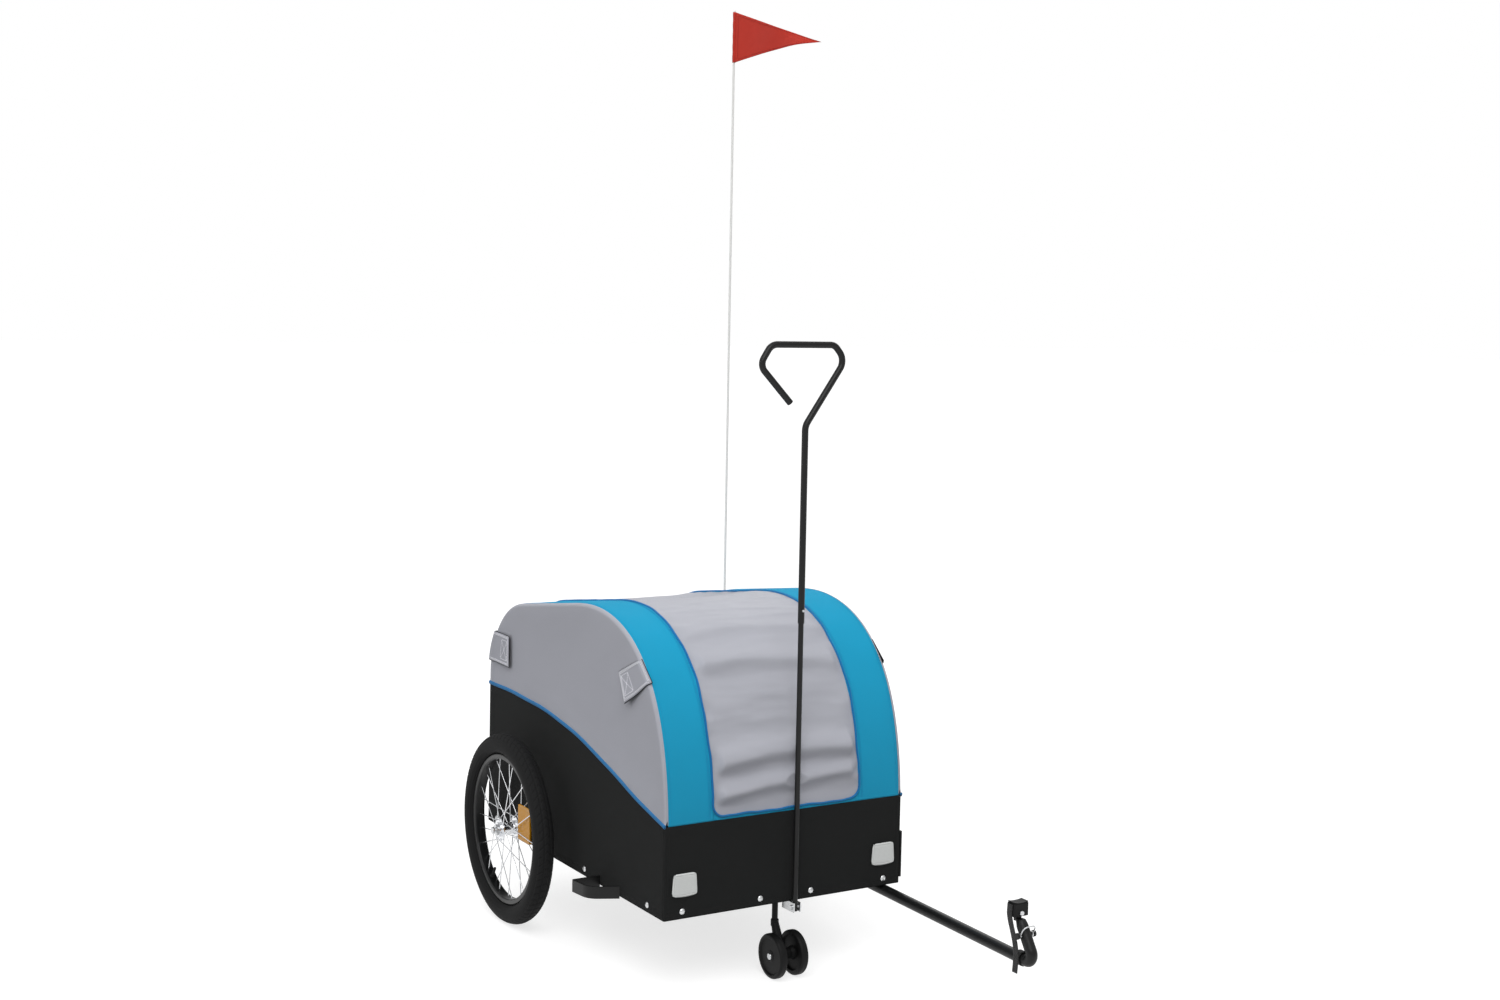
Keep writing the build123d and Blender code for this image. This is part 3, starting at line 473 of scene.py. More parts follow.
GREY = (0.445, 0.453, 0.505)
BLUE = (0.012, 0.365, 0.61)
PIPING_BLUE = (0.006, 0.19, 0.48)
LOOK = {
    "steel_black": painted("steel_black_coat", (0.0048, 0.005, 0.0052), 0.42, coat=0.06),
    "steel_zinc": metal("zinc_plate", (0.62, 0.63, 0.64), 0.3, brushed=True),
    "chrome": metal("chrome_plate", (0.78, 0.79, 0.81), 0.14, grain=0.01 * MM),
    "tyre_black": rubber("tyre_rubber", (0.0085, 0.0087, 0.009), 0.8),
    "rim_black": painted("rim_enamel", (0.006, 0.0062, 0.0066), 0.34, coat=0.15, grain=0.03 * MM),
    "rubber_black": rubber("soft_rubber", (0.013, 0.013, 0.013)),
    "castor_plastic": moulded("black_plastic", (0.004, 0.0041, 0.0043), 0.52),
    "coupler_rubber": moulded("coupler_polymer", (0.006, 0.0062, 0.0065), 0.5),
    "board_black": moulded("floor_board", (0.02, 0.02, 0.021), 0.6),
    "fabric_black": woven("black_cloth", (0.0135, 0.0142, 0.0142), contrast=0.22, sheen=0.0, rough=0.9),
    "fabric_grey": woven("grey_cloth", GREY, contrast=0.08, sheen=0.06),
    "fabric_blue": woven("blue_cloth", BLUE, contrast=0.08, sheen=0.0),
    "piping_blue": woven("piping_cloth", PIPING_BLUE, pitch=0.6 * MM, contrast=0.22),
    "webbing_black": webbing("black_webbing", (0.008, 0.008, 0.0085)),
    "reflector_clear": lens("clear_lens", (0.74, 0.76, 0.75)),
    "reflector_amber": lens("amber_lens", (0.66, 0.29, 0.0), coat=0.05),
    "pole_white": painted("glass_fibre", (0.80, 0.80, 0.78), 0.35, grain=0.02 * MM, wear=0.06),
    "flag_red": woven("flag_cloth", (0.56, 0.038, 0.022), pitch=0.7 * MM, contrast=0.12),
}
COVER_SATIN = woven("cover_satin", tint(GREY, 0.98), contrast=0.08, rough=0.5, sheen=0.03,
                    relief=0.16 * MM, shine=0.36)
# A paler copy of the grey cloth for the edge welt: a painted highlight along the side panel's upper seam.
GREY_PAINTED_HIGHLIGHT = woven("grey_painted_highlight_cloth", tint(GREY, 1.15), contrast=0.08)
SIDE_PIPING = woven("side_piping_cloth", (0.018, 0.19, 0.46), pitch=0.6 * MM, contrast=0.2)
GREY_THREAD = painted("grey_thread", (0.84, 0.84, 0.88), 0.7, scale=2500, wear=0.1)
BLACK_THREAD = painted("black_thread", (0.02, 0.02, 0.02), 0.7, scale=2500, wear=0.1)
BLUE_THREAD = painted("blue_thread", (0.015, 0.25, 0.5), 0.7, scale=2500, wear=0.1)
RED_THREAD = painted("red_thread", (0.35, 0.02, 0.015), 0.7, scale=2500, wear=0.1)


def dress_cad():
    """Every carried-over part gets its slot's full material."""
    slots = {part["node"]: part["material_slot"] for part in frame["record"]["subparts"]}
    for name, node in NODES.items():
        look = LOOK[slots[name]]
        if node.material_slots:
            for held in node.material_slots:
                held.material = look
        else:
            node.data.materials.append(look)


# ---- the body's outline, read from the frame --------------------------------------------

def read_outline():
    """The canopy's profile and the side border as curves in (y, z), front to back."""
    points = {(round(v.co.y, 5), round(v.co.z, 5)) for v in NODES["side_panels"].data.vertices
              if v.co.x > BODY_X - 1e-5}
    loop = hull(points)
    front = min(range(len(loop)), key=lambda i: loop[i][0] + loop[i][1])
    loop = loop[front:] + loop[:front]
    canopy = Curve(loop)
    fine = canopy.at(np.linspace(0, canopy.length, 3000))
    border = [p for p in points if np.linalg.norm(fine - np.array(p), axis=1).min() > 2 * MM]
    return canopy, Curve(sorted([*border, loop[0], loop[-1]]))


CANOPY, BORDER = read_outline()
S_HINGE = CANOPY.where(0, HINGE.y)


def canopy_yz(s, lift=0.0):
    """A place on the canopy's profile, lifted off it along its outward normal."""
    place = CANOPY.at(s)
    heading = CANOPY.heading(s)
    outward = np.stack([-heading[..., 1], heading[..., 0]], axis=-1)
    return place + np.asarray(lift)[..., None] * outward


def at_x(x, yz):
    """(y, z) places as points at x."""
    return xyz(x, yz[..., 0], yz[..., 1])


def spread(half, count, ease):
    """Places from side to side that close up towards both edges."""
    turn = math.pi / 2
    return half * np.sin(np.linspace(-1, 1, count) * turn * ease) / math.sin(turn * ease)


def sag_at(y):
    """The roof cover hangs lowest towards its back edge, and is level again at the hinge."""
    along = np.clip((y - SAG_FRONT_Y) / (HINGE.y - SAG_FRONT_Y), 0, 1)
    return SAG * np.sin(math.pi * along ** 1.6) ** 2


def canopy_points(s, x, lift=0.0):
    """Points on the canopy at distances s along its profile and at x, sagging between the seams."""
    s, x, lift = np.broadcast_arrays(np.asarray(s, float), np.asarray(x, float), np.asarray(lift, float))
    yz = canopy_yz(s, lift)
    hang = sag_at(yz[..., 0]) * np.clip(1 - np.abs(x / SEAM_X) ** 2.4, 0, 1)
    return xyz(x, yz[..., 0], yz[..., 1] - hang)


# ---- canopy -----------------------------------------------------------------------------

def foot_line(x):
    """Where the cover's foot piping runs: level, with a rounded corner at each seam."""
    inside = np.clip(np.abs(x) - (SEAM_X - CORNER_R), 0, CORNER_R)
    wave = 0.9 * MM * np.sin(x * 47) + 0.5 * MM * np.sin(x * 131 + 1)
    fade = 1 - inside / CORNER_R
    return FOOT + wave * fade + CORNER_R - np.sqrt(np.maximum(CORNER_R ** 2 - inside ** 2, 0))


def seam_wave(s, side):
    """The seams wander by about a millimetre."""
    return 1.1 * MM * np.sin(s * 31 + side) + 0.6 * MM * np.sin(s * 83 + 2 * side)


# A fold in the cover: distance of its crest from the foot, height, width below and above the
# crest, how its ends droop, how it leans from side to side, and which share of it is strong.
# The height and the widths are in millimetres, the other lengths in metres.
FOLDS = [
    (0.060, 13.0, 15, 18, 0.008, 0.010, 1.00),
    (0.118, 19.0, 19, 30, 0.012, 0.004, 0.95),
    (0.182, 5.0, 18, 24, -0.006, -0.012, 0.45),
    (0.236, 3.2, 20, 28, 0.010, 0.016, 0.45),
    (0.302, 15.5, 18, 30, 0.012, -0.012, 0.80),
    (0.346, 3.0, 10, 16, 0.018, 0.018, 0.40),
    (0.390, 8.5, 13, 22, 0.022, -0.008, 0.60),
    (0.430, 3.0, 9, 14, 0.022, 0.012, 0.45),
    (0.470, 2.6, 7, 11, 0.020, -0.012, 0.45),
    (0.520, 2.4, 7, 11, 0.018, 0.012, 0.45),
    (0.585, 2.4, 8, 12, 0.015, -0.008, 0.45),
]


def wrinkles(s, x):
    """How far the loose cover stands off its profile: crossing folds, and puckers at the seams."""
    across = x / SEAM_X
    height = np.zeros(np.broadcast(s, x).shape)
    for i, (crest, tall, below, above, droop, lean, share) in enumerate(FOLDS):
        wander = 5 * MM * soft_noise(x, i, 0.11, i + 1)
        line = crest - droop * across ** 2 + lean * across + wander
        off = (s - line) / MM
        body = np.where(off < 0, np.exp(-(off / below) ** 2), np.exp(-(off / above) ** 2))
        strong = share + (1 - share) * soft_noise(x, i * 3.1, 0.16, i + 20)
        ends = 1 - smooth_step(np.abs(across), 0.84, 1.0)
        height += tall * MM * body * np.clip(strong, 0.15, 1.1) * ends
    edge = SEAM_X - np.abs(x)
    pucker = np.sin(s / (11 * MM) + 9 * soft_noise(s, np.sign(x), 0.12, 5) + 0.5 * edge / (10 * MM))
    fade = np.exp(-edge / (34 * MM)) * smooth_step(edge, 0, 6 * MM)
    height += 1.8 * MM * pucker * fade * (0.4 + np.abs(soft_noise(s, np.sign(x), 0.06, 6)) * 1.8)
    height += 2.4 * MM * soft_noise(s, x * 0.45, 0.06, 11) * smooth_step(edge, 0, 30 * MM)
    height += 0.8 * MM * soft_noise(s * 2.4, x * 0.8, 0.035, 12) * smooth_step(edge, 0, 20 * MM)
    return height


def make_cover():
    x = spread(SEAM_X, 181, 0.92)
    rows = np.linspace(0, 1, 430)[:, None]
    foot = foot_line(x)[None, :]
    s = foot + rows * (S_HINGE - 0.6 * MM - foot)
    height = wrinkles(s, x) * smooth_step(rows, 0, 0.03) * (1 - smooth_step(rows, 0.975, 1))
    points = canopy_points(s, x, height - 0.4 * MM)
    bar_low, bar_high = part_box("handle_lower")
    beside = np.abs(x - (bar_low.x + bar_high.x) / 2) - 8 * MM
    front = bar_high.y + BAR_ROOM - 0.35 * np.maximum(beside, 0)
    points[..., 1] = np.maximum(points[..., 1], front)
    mesh = sheet_mesh("cover_cloth", points)
    cover = link("cover_cloth", mesh, "frame", "fabric_grey", ["canopy_cover"], material=COVER_SATIN)


def make_band(side, name):
    """One blue band, over the hoop, from the front foot to the hinge."""
    x = np.linspace(SEAM_X - 2 * MM, BODY_X - EDGE_R, 34)
    s = np.linspace(0, S_HINGE - 0.6 * MM, 330)[:, None]
    uneven = 1.2 * MM * soft_noise(s, x + side, 0.13, 31) + 0.4 * MM * soft_noise(s, x - side, 0.04, 32)
    near_seam = smooth_step(x - SEAM_X, 0, 25 * MM) * smooth_step(x[-1] - x, 0, 12 * MM)
    hoop = 0.8 * MM * np.exp(-((x - BODY_X + 24 * MM) / (14 * MM)) ** 2)
    points = canopy_points(s, x, uneven * near_seam + hoop - 0.2 * MM)
    points[..., 0] *= side
    mesh = sheet_mesh(name, points, outwards=side)
    replaced = ["canopy_bands"] if side > 0 else []
    band = link(name, mesh, "frame", "fabric_blue", replaced)


def make_foot_strip():
    """The blue strip under the cover's foot, that also fills the two rounded corners."""
    x = spread(SEAM_X + 2 * MM, 161, 0.94)
    rows = np.linspace(0, 1, 7)[:, None]
    s = rows * (foot_line(np.clip(x, -SEAM_X, SEAM_X)) + 0.8 * MM)
    mesh = sheet_mesh("cover_foot_strip", canopy_points(s, x, -0.5 * MM))
    strip = link("cover_foot_strip", mesh, "frame", "fabric_blue")


def make_cover_piping():
    """One length of piping: down the right seam, round the corners and up the left seam."""
    down = np.linspace(S_HINGE - 1.5 * MM, FOOT + CORNER_R, 260)
    up = down[::-1]
    straight = SEAM_X - CORNER_R
    corner = CORNER_R * (1 - np.cos(np.linspace(0, math.pi / 2, 12)[1:-1])) - SEAM_X
    x = np.concatenate([corner, np.linspace(-straight, straight, 110), -corner[::-1]])
    path = np.vstack([canopy_points(down, seam_wave(down, -1) - SEAM_X, 0.6 * MM),
                      canopy_points(foot_line(x), x, 0.7 * MM),
                      canopy_points(up, seam_wave(up, 1) + SEAM_X, 0.6 * MM)])
    thick = PIPING_R * (1 + 0.10 * soft_noise(path[:, 0] + path[:, 2], path[:, 1], 0.03, 3))
    mesh = tube_mesh("seam_piping", path, thick, sides=10)
    link("seam_piping", mesh, "frame", "piping_blue", ["cover_piping"])


def along_canopy(s, x, lift):
    """A path along the canopy at one x, with its outward normals, for stitches."""
    path = canopy_points(s, x, lift)
    normal = canopy_points(s, x, np.asarray(lift) + MM) - path
    return path, normal / np.linalg.norm(normal, axis=1, keepdims=True)


def make_canopy_stitches():
    """Top-stitching on each band: two rows beside the piping and one near the outer edge."""
    s = np.linspace(4 * MM, S_HINGE - 4 * MM, 700)
    lines = [(SEAM_X + 5.5 * MM, 0.1 * MM), (SEAM_X + 8.0 * MM, 0.1 * MM),
             (BODY_X - EDGE_R - 6 * MM, 0.5 * MM)]
    runs = []
    for side in (-1, 1):
        for x, lift in lines:
            path, normal = along_canopy(s, x, lift)
            path[:, 0] *= side
            normal[:, 0] *= side
            runs.append(stitch_mesh("run", path, normal))
    link("band_stitches", joined("band_stitches", runs), "frame", "fabric_blue", material=BLUE_THREAD)


# ---- side panels, tub and rear flap -----------------------------------------------------

def make_side_panel(side, name):
    """The grey side: nearly flat, with a soft rounded edge where it meets the canopy."""
    share = np.linspace(0, 1, 190)[None, :]
    top = CANOPY.at(share[0] * CANOPY.length)
    low = BORDER.at(share[0] * BORDER.length)
    height = np.linalg.norm(top - low, axis=1)
    radius = np.minimum(EDGE_R, 0.45 * height)
    rows_flat = np.linspace(0, 1, 70)[:, None]
    turn = np.linspace(0, math.pi / 2, 9)[1:, None]
    inset = radius[None, :] * (1 - np.sin(turn))
    dip = radius[None, :] * (1 - np.cos(turn))
    height = np.maximum(height, 1e-6)
    near = 1 - np.vstack([1 - rows_flat * (1 - radius / height), inset / height])
    depth = np.vstack([np.zeros((len(rows_flat), share.size)), dip])
    y = low[:, 0] + near * (top[:, 0] - low[:, 0])
    z = low[:, 1] + near * (top[:, 1] - low[:, 1])
    room = smooth_step(near * height, 0, 0.05) * smooth_step((1 - near) * height, 0, 0.05)
    dish = 2.5 * MM * np.sin(math.pi * near) * smooth_step(height, 0.02, 0.2)
    uneven = 1.3 * MM * soft_noise(y, z, 0.17, 40 + side) + 0.4 * MM * soft_noise(y, z, 0.05, 44 + side)
    points = xyz(side * (BODY_X - depth - room * (dish - uneven)), y, z)
    mesh = sheet_mesh(name, points, outwards=side)
    replaced = ["side_panels"] if side > 0 else []
    panel = link(name, mesh, "frame", "fabric_grey", replaced)


def make_edge_welt(side, name):
    """A thin welt in the side panel's upper seam, along the band and then down the back; its paler grey is a
    painted highlight.
    """
    s = np.linspace(3 * MM, CANOPY.length - 3 * MM, 420)
    path = canopy_points(s, SEAM_X, -0.3 * MM)
    path[:, 0] = side * (BODY_X - EDGE_R + 0.6 * MM)
    mesh = tube_mesh(name, path, 0.7 * MM, sides=8)
    # The welt's paler grey paints the highlight on the side panel's rounded upper edge.
    link(name, mesh, "frame", "fabric_grey", material=GREY_PAINTED_HIGHLIGHT)


def make_side_piping(side, name):
    """Medium-blue piping along the wave between the grey and the black."""
    s = np.linspace(0, BORDER.length, 300)
    yz = BORDER.at(s)
    wave = 0.6 * MM * np.sin(s * 37)
    path = xyz(side * (BODY_X + 0.3 * MM), yz[:, 0], yz[:, 1] + wave)
    flat = tube_mesh(name, path, 4.2 * MM, sides=12)
    for v in flat.vertices:
        v.co.x = side * BODY_X + (v.co.x - side * BODY_X) * 0.55
    replaced = ["side_piping"] if side > 0 else []
    link(name, flat, "frame", "piping_blue", replaced, material=SIDE_PIPING)


def tub_plan():
    """The tub's outline as (x, y from the front), with rounded corners, once round."""
    radius = 3.5 * MM
    corner = 5
    length = REAR_BASE_Y - FRONT_Y
    arcs = []
    for x, y, start in ((-BODY_X, 0, 1), (BODY_X, 0, 1.5), (BODY_X, length, 0), (-BODY_X, length, 0.5)):
        centre = np.array([x - math.copysign(radius, x), y + (radius if y == 0 else -radius)])
        turn = np.linspace(start * math.pi, start * math.pi + math.pi / 2, corner)[:, None]
        arcs.append(centre + radius * np.hstack([np.cos(turn), np.sin(turn)]))
    points = []
    for arc, following, count in zip(arcs, arcs[1:] + arcs[:1], (90, 150, 90, 150)):
        steps = np.linspace(0, 1, count + 1)[1:-1, None]
        points += [arc, arc[-1] + (following[0] - arc[-1]) * steps]
    return np.vstack([*points, points[0][:1]])


def make_tub():
    """The black tub: one wrap of cloth round the front, the sides and the leaning back."""
    plan = tub_plan()
    x, y = plan[:, 0], plan[:, 1] + FRONT_Y
    length = REAR_BASE_Y - FRONT_Y
    lean = REAR_BASE_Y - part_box("rear_flap")[1].y
    at_side = np.abs(x) > BODY_X - 3 * MM
    wave = np.interp(y, BORDER.points[:, 0], BORDER.points[:, 1])
    top = np.where(at_side, wave, np.where(plan[:, 1] < length / 2, FRONT_TOP_Z, REAR_TOP_Z))
    rows = np.linspace(0, 1, 60)[:, None]
    z = BASE_Z + rows * (top - BASE_Z)
    rise = (z - BASE_Z) / (REAR_TOP_Z - BASE_Z)
    squeeze = 1 - lean / length * rise
    points = xyz(x, FRONT_Y + plan[:, 1] * squeeze, z)
    tall = top - BASE_Z
    inside_row = smooth_step(rows * tall, 0, 0.03) * smooth_step((1 - rows) * tall, 0, 0.03)
    corner_room = np.where(at_side, np.minimum(y - FRONT_Y, REAR_BASE_Y - y), BODY_X - np.abs(x))
    inside = inside_row * smooth_step(corner_room, 0, 0.04)
    uneven = 1.1 * MM * soft_noise(points[..., 0] + points[..., 1], z, 0.15, 50)
    uneven += 0.35 * MM * soft_noise(points[..., 0] - points[..., 1], z, 0.05, 51)
    uneven = (uneven - 0.9 * MM) * inside
    points[..., 0] += np.where(at_side, np.sign(x) * uneven, 0)
    points[..., 1] += np.where(at_side, 0, np.where(plan[:, 1] < length / 2, -1, 1) * uneven)
    mesh = sheet_mesh("tub_cloth", points)
    tub = link("tub_cloth", mesh, "frame", "fabric_black", ["tub_front", "tub_rear", "tub_sides"])
    make_tub_seams(plan, length, lean)


def make_tub_seams(plan, length, lean):
    """Stitching along the hem and up the two front corners."""
    runs = []
    for height in (9 * MM, 12 * MM):
        squeeze = 1 - lean / length * height / (REAR_TOP_Z - BASE_Z)
        path = xyz(plan[:, 0], FRONT_Y + plan[:, 1] * squeeze, BASE_Z + height)
        outwards = np.sign(path - np.array([0, (FRONT_Y + REAR_BASE_Y) / 2, 0]))
        at_side = (np.abs(plan[:, 0]) > BODY_X - 2 * MM)[:, None]
        normal = outwards * np.where(at_side, [1.0, 0, 0], [0, 1.0, 0])
        runs.append(stitch_mesh("run", path, normal, pitch=4 * MM))
    z = np.linspace(BASE_Z + 15 * MM, FRONT_TOP_Z - 4 * MM, 60)
    for side in (-1, 1):
        for inset in (7 * MM, 10 * MM):
            front = xyz(side * (BODY_X - inset), FRONT_Y, z)
            runs.append(stitch_mesh("run", front, xyz(0, -1.0, 0 * z), pitch=4 * MM))
            flank = xyz(side * BODY_X, FRONT_Y + inset, z)
            runs.append(stitch_mesh("run", flank, xyz(side * 1.0, 0, 0 * z), pitch=4 * MM))
    link("tub_stitches", joined("tub_stitches", runs), "frame", "fabric_black", material=BLACK_THREAD)


def make_rear_flap():
    """The grey back flap, from the hinge line down to the tub."""
    half = BODY_X - EDGE_R - 0.8 * MM
    x = np.linspace(-half, half, 120)
    s = np.linspace(S_HINGE + 0.6 * MM, CANOPY.length - 1.2 * MM, 120)[:, None]
    across = x / half
    room = 1 - smooth_step(np.abs(across), 0.85, 1.0)
    ends = smooth_step(s - S_HINGE, 0, 0.04) * smooth_step(CANOPY.length - s, 0, 0.04)
    uneven = 2.2 * MM * soft_noise(s, x, 0.15, 61) + 0.7 * MM * soft_noise(s, x, 0.045, 62)
    points = at_x(x, canopy_yz(s, uneven * room * ends - 0.3 * MM))
    mesh = sheet_mesh("rear_flap_cloth", points)
    flap = link("rear_flap_cloth", mesh, "rear_flap", "fabric_grey", ["rear_flap"])

    def run(x, s):
        path = at_x(x, canopy_yz(s, 0 * s))
        return stitch_mesh("run", path, (at_x(x, canopy_yz(s, 0 * s + MM)) - path) / MM)

    runs = []
    for inset in (6 * MM, 9 * MM):
        down = np.linspace(S_HINGE + inset, CANOPY.length - inset, 200)
        runs += [run(side * (half - inset), down) for side in (-1, 1)]
        across = np.linspace(inset - half, half - inset, 300)
        runs += [run(across, np.full(300, place)) for place in (S_HINGE + inset, CANOPY.length - inset)]
    link("flap_stitches", joined("flap_stitches", runs), "rear_flap", "fabric_grey", material=GREY_THREAD)


# ---- straps, flag and hitch webbing -----------------------------------------------------

def polyline(corners):
    """Even points along straight lines through corners."""
    count = 50
    runs = [np.linspace(a, b, count, endpoint=False) for a, b in zip(corners, corners[1:])]
    return np.vstack([*runs, corners[-1:]])


def box_path(low, high):
    return polyline([low, (high[0], low[1]), high, (low[0], high[1]), low])


def sew(surface, path, outwards):
    """Stitches along a path of (u, v) shares over a surface."""
    u, v = np.array(path).T
    step = 0.01
    along = surface(u + step, v) - surface(u - step, v)
    normal = outwards * np.cross(along, surface(u, v + step) - surface(u, v - step))
    normal /= np.linalg.norm(normal, axis=1, keepdims=True)
    size = {"pitch": 3.4 * MM, "length": 2.6 * MM, "radius": 0.65 * MM}
    return stitch_mesh("run", surface(u, v), normal, **size)


def make_strap(name, surface, size, body, side, replaced, box_from):
    """A doubled strap: grey face, black underside, a sewn border and a crossed box at one end."""
    u, v = np.meshgrid(np.linspace(0, 1, 70), np.linspace(0, 1, 30))
    mesh = sheet_mesh(name, surface(u, v), 0.9 * MM, side)
    face = link(name, mesh, body, "fabric_grey", replaced)
    grow = 1 + 2.4 * MM / size[0], 1 + 2.4 * MM / size[1]
    under = surface(0.5 + (u - 0.5) * grow[0], 0.5 + (v - 0.5) * grow[1])
    under -= side * 0.95 * MM * grid_normals(under)
    back = link(f"{name}_underside", sheet_mesh(name, under, 0.8 * MM, side), body, "fabric_black")
    runs = []
    for inset in (3.4 * MM, 5.8 * MM):
        low = inset / size[0], inset / size[1]
        runs.append(sew(surface, box_path(low, (1 - low[0], 1 - low[1])), side))
    low, high = (box_from, 0.18), (1 - 9 * MM / size[0], 0.82)
    runs.append(sew(surface, box_path(low, high), side))
    runs.append(sew(surface, polyline([low, high]), side))
    runs.append(sew(surface, polyline([(low[0], high[1]), (high[0], low[1])]), side))
    seam = link(f"{name}_stitches", joined(name, runs), body, "fabric_grey", material=GREY_THREAD)


def make_front_tab(side, name):
    """Sewn in at the band's seam; its free lower end curls off the side panel."""
    at = {(round(v.co.y, 5), round(v.co.z, 5)) for v in NODES["front_tabs"].data.vertices}
    sewn_low, sewn_high = np.array(min(at)), np.array(max(at, key=lambda p: p[1]))
    free_high, free_low = np.array(max(at)), np.array(min(at, key=lambda p: p[1]))

    def surface(u, v):
        u, v = np.asarray(u)[..., None], np.asarray(v)[..., None]
        yz = (1 - u) * ((1 - v) * sewn_low + v * sewn_high)
        yz = yz + u * ((1 - v) * free_low + v * free_high)
        tuck = 5.5 * MM * (1 - smooth_step(u, -0.02, 0.13))
        curl = 7 * MM * smooth_step(u, 0.45, 1.0) ** 1.5 * (1.25 - v) + 1.2 * MM * np.sin(math.pi * u)
        x = side * (BODY_X + 1.9 * MM - tuck + curl)
        return np.concatenate([x, yz], axis=-1)

    size = (float(np.linalg.norm(free_low - sewn_low)), float(np.linalg.norm(sewn_high - sewn_low)) * 1.1)
    make_strap(name, surface, size, "frame", side, ["front_tabs"] if side > 0 else [], 0.62)


def make_rear_tab(side, name):
    """Sewn to the back flap; it goes round the corner and lies on the side panel."""
    low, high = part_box("rear_tabs")
    start_x = 225 * MM
    radius = 5 * MM
    bend_from, bend_to = 0.34, 0.42  # shares of its length
    s = np.linspace(S_HINGE, CANOPY.length, 60)
    behind = CANOPY.at(s)

    def surface(u, v):
        z = low.z + v * (high.z - low.z)
        back = np.interp(-z, -behind[:, 1], behind[:, 0]) + TAB_ROOM
        turn = np.clip((u - bend_from) / (bend_to - bend_from), 0, 1) * math.pi / 2
        straight = BODY_X + TAB_ROOM - radius - start_x
        x = start_x + np.clip(u / bend_from, -1, 1) * straight + radius * np.sin(turn)
        reach = np.clip((u - bend_to) / (1 - bend_to), 0, 1.2)
        forward = radius * (1 - np.cos(turn)) + reach * (back - radius - low.y)
        lift = 2.2 * MM * reach ** 3
        return xyz(side * (x + lift), back - forward, z)

    length = BODY_X - start_x + 0.9 * (high.y - low.y)
    replaced = ["rear_tabs"] if side > 0 else []
    make_strap(name, surface, (length, high.z - low.z), "rear_flap", -side, replaced, 0.74)


def make_flag():
    """A small pennant with a hollow lower edge, sewn round the pole by a sleeve."""
    low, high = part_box("flag")
    pole_low, pole_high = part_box("flag_pole")
    pole = (pole_low + pole_high) / 2
    pole_r = (pole_high.x - pole_low.x) / 2
    hoist = high.z - low.z
    fly = np.array([high.x - pole.x, low.y - pole.y, 0])
    length = float(np.linalg.norm(fly))
    outward = np.array([-fly[1], fly[0], 0]) / length
    drop = 0.72

    def surface(u, v):
        top = -drop * u
        foot = -1 + 0.466 * u - 0.186 * u ** 2
        z = high.z + hoist * (foot + v * (top - foot))
        wave = u * (7 * MM * np.sin(6.5 * u + 1.2 * v + 0.4) + 2.5 * MM * np.sin(15 * u - 2.2 * v))
        start = pole_r / length
        place = (start + u * (1 - start))[..., None] * fly + wave[..., None] * outward
        return place + xyz(pole.x, pole.y, z)

    u, v = np.meshgrid(np.linspace(0, 1, 120), np.linspace(0, 1, 50))
    mesh = sheet_mesh("flag_cloth", surface(u, v), 0.5 * MM)
    flag = link("flag_cloth", mesh, "flag_pole", "flag_red", ["flag"])
    z = np.linspace(low.z, high.z, 40)
    thick = pole_r + 1.2 * MM + 0.25 * MM * np.sin(z * 260)
    mesh = tube_mesh("flag_sleeve", xyz(pole.x, pole.y, z), thick, 20)
    sleeve = link("flag_sleeve", mesh, "flag_pole", "flag_red")
    hem = [[(0.03, 0.95), (0.93, 0.90)], [(0.03, 0.05), (0.93, 0.10)], [(0.035, 0.05), (0.035, 0.95)]]
    runs = [sew(surface, polyline(line), 1) for line in hem]
    seam = link("flag_stitches", joined("flag_stitches", runs), "flag_pole", "flag_red", material=RED_THREAD)


def make_safety_strap():
    """Webbing from the coupler's side down to a loop round the tow bar, with a short tail."""
    low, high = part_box("safety_strap")
    block_low, block_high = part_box("hitch_block")
    bar_x = (block_low.x + block_high.x) / 2
    width = 14 * MM
    loop_y, top_y = low.y + width / 2, (block_low.y + block_high.y) / 2
    radius = (high.x - bar_x) - 0.2 * MM
    bar_z = low.z + radius
    side_x = block_low.x - 2.2 * MM
    turn = np.linspace(0, 2 * math.pi, 70)
    grow = radius + 2.2 * MM * turn / (2 * math.pi)
    loop = xyz(bar_x - grow * np.cos(turn), loop_y, bar_z - grow * np.sin(turn))
    head = [(side_x, top_y, block_high.z - 2 * MM), (side_x, top_y, block_low.z),
            (bar_x - radius - MM, loop_y + 5 * MM, bar_z + 30 * MM)]
    outer_x = bar_x - grow[-1]
    tail = [(outer_x, loop_y, bar_z - 8 * MM), (outer_x - 2 * MM, loop_y - MM, bar_z - 24 * MM)]
    line = Curve([*head, *loop[::3], *tail], per_span=6)
    columns = np.linspace(-width / 2, width / 2, 9)
    points = line.points[:, None] + xyz(0, columns, 0)
    mesh = sheet_mesh("strap_webbing", points, 1.4 * MM)
    strap = link("strap_webbing", mesh, None, "webbing_black", ["safety_strap"])
    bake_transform(strap)


def make_coupler_saddle():
    """The coupler's hollow top: low in the middle and rising to both ends."""
    low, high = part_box("hitch_block")
    middle = (low + high) / 2
    half = (high - low) / 2
    x, y = rounded_grid(half.x - 0.4 * MM, half.y - 0.4 * MM, 3 * MM, 41, 27)
    edge = 1 - smooth_step(np.maximum(np.abs(x) / half.x, np.abs(y) / half.y), 0.9, 1.0)
    z = high.z + (0.5 + 2.3 * (x / half.x) ** 2) * MM * (0.45 + 0.55 * edge)
    mesh = sheet_mesh("coupler_saddle", xyz(middle.x + x, middle.y + y, z), 0.9 * MM)
    link("coupler_saddle", mesh, "coupler", "coupler_rubber")


# ---- wheels and reflectors --------------------------------------------------------------

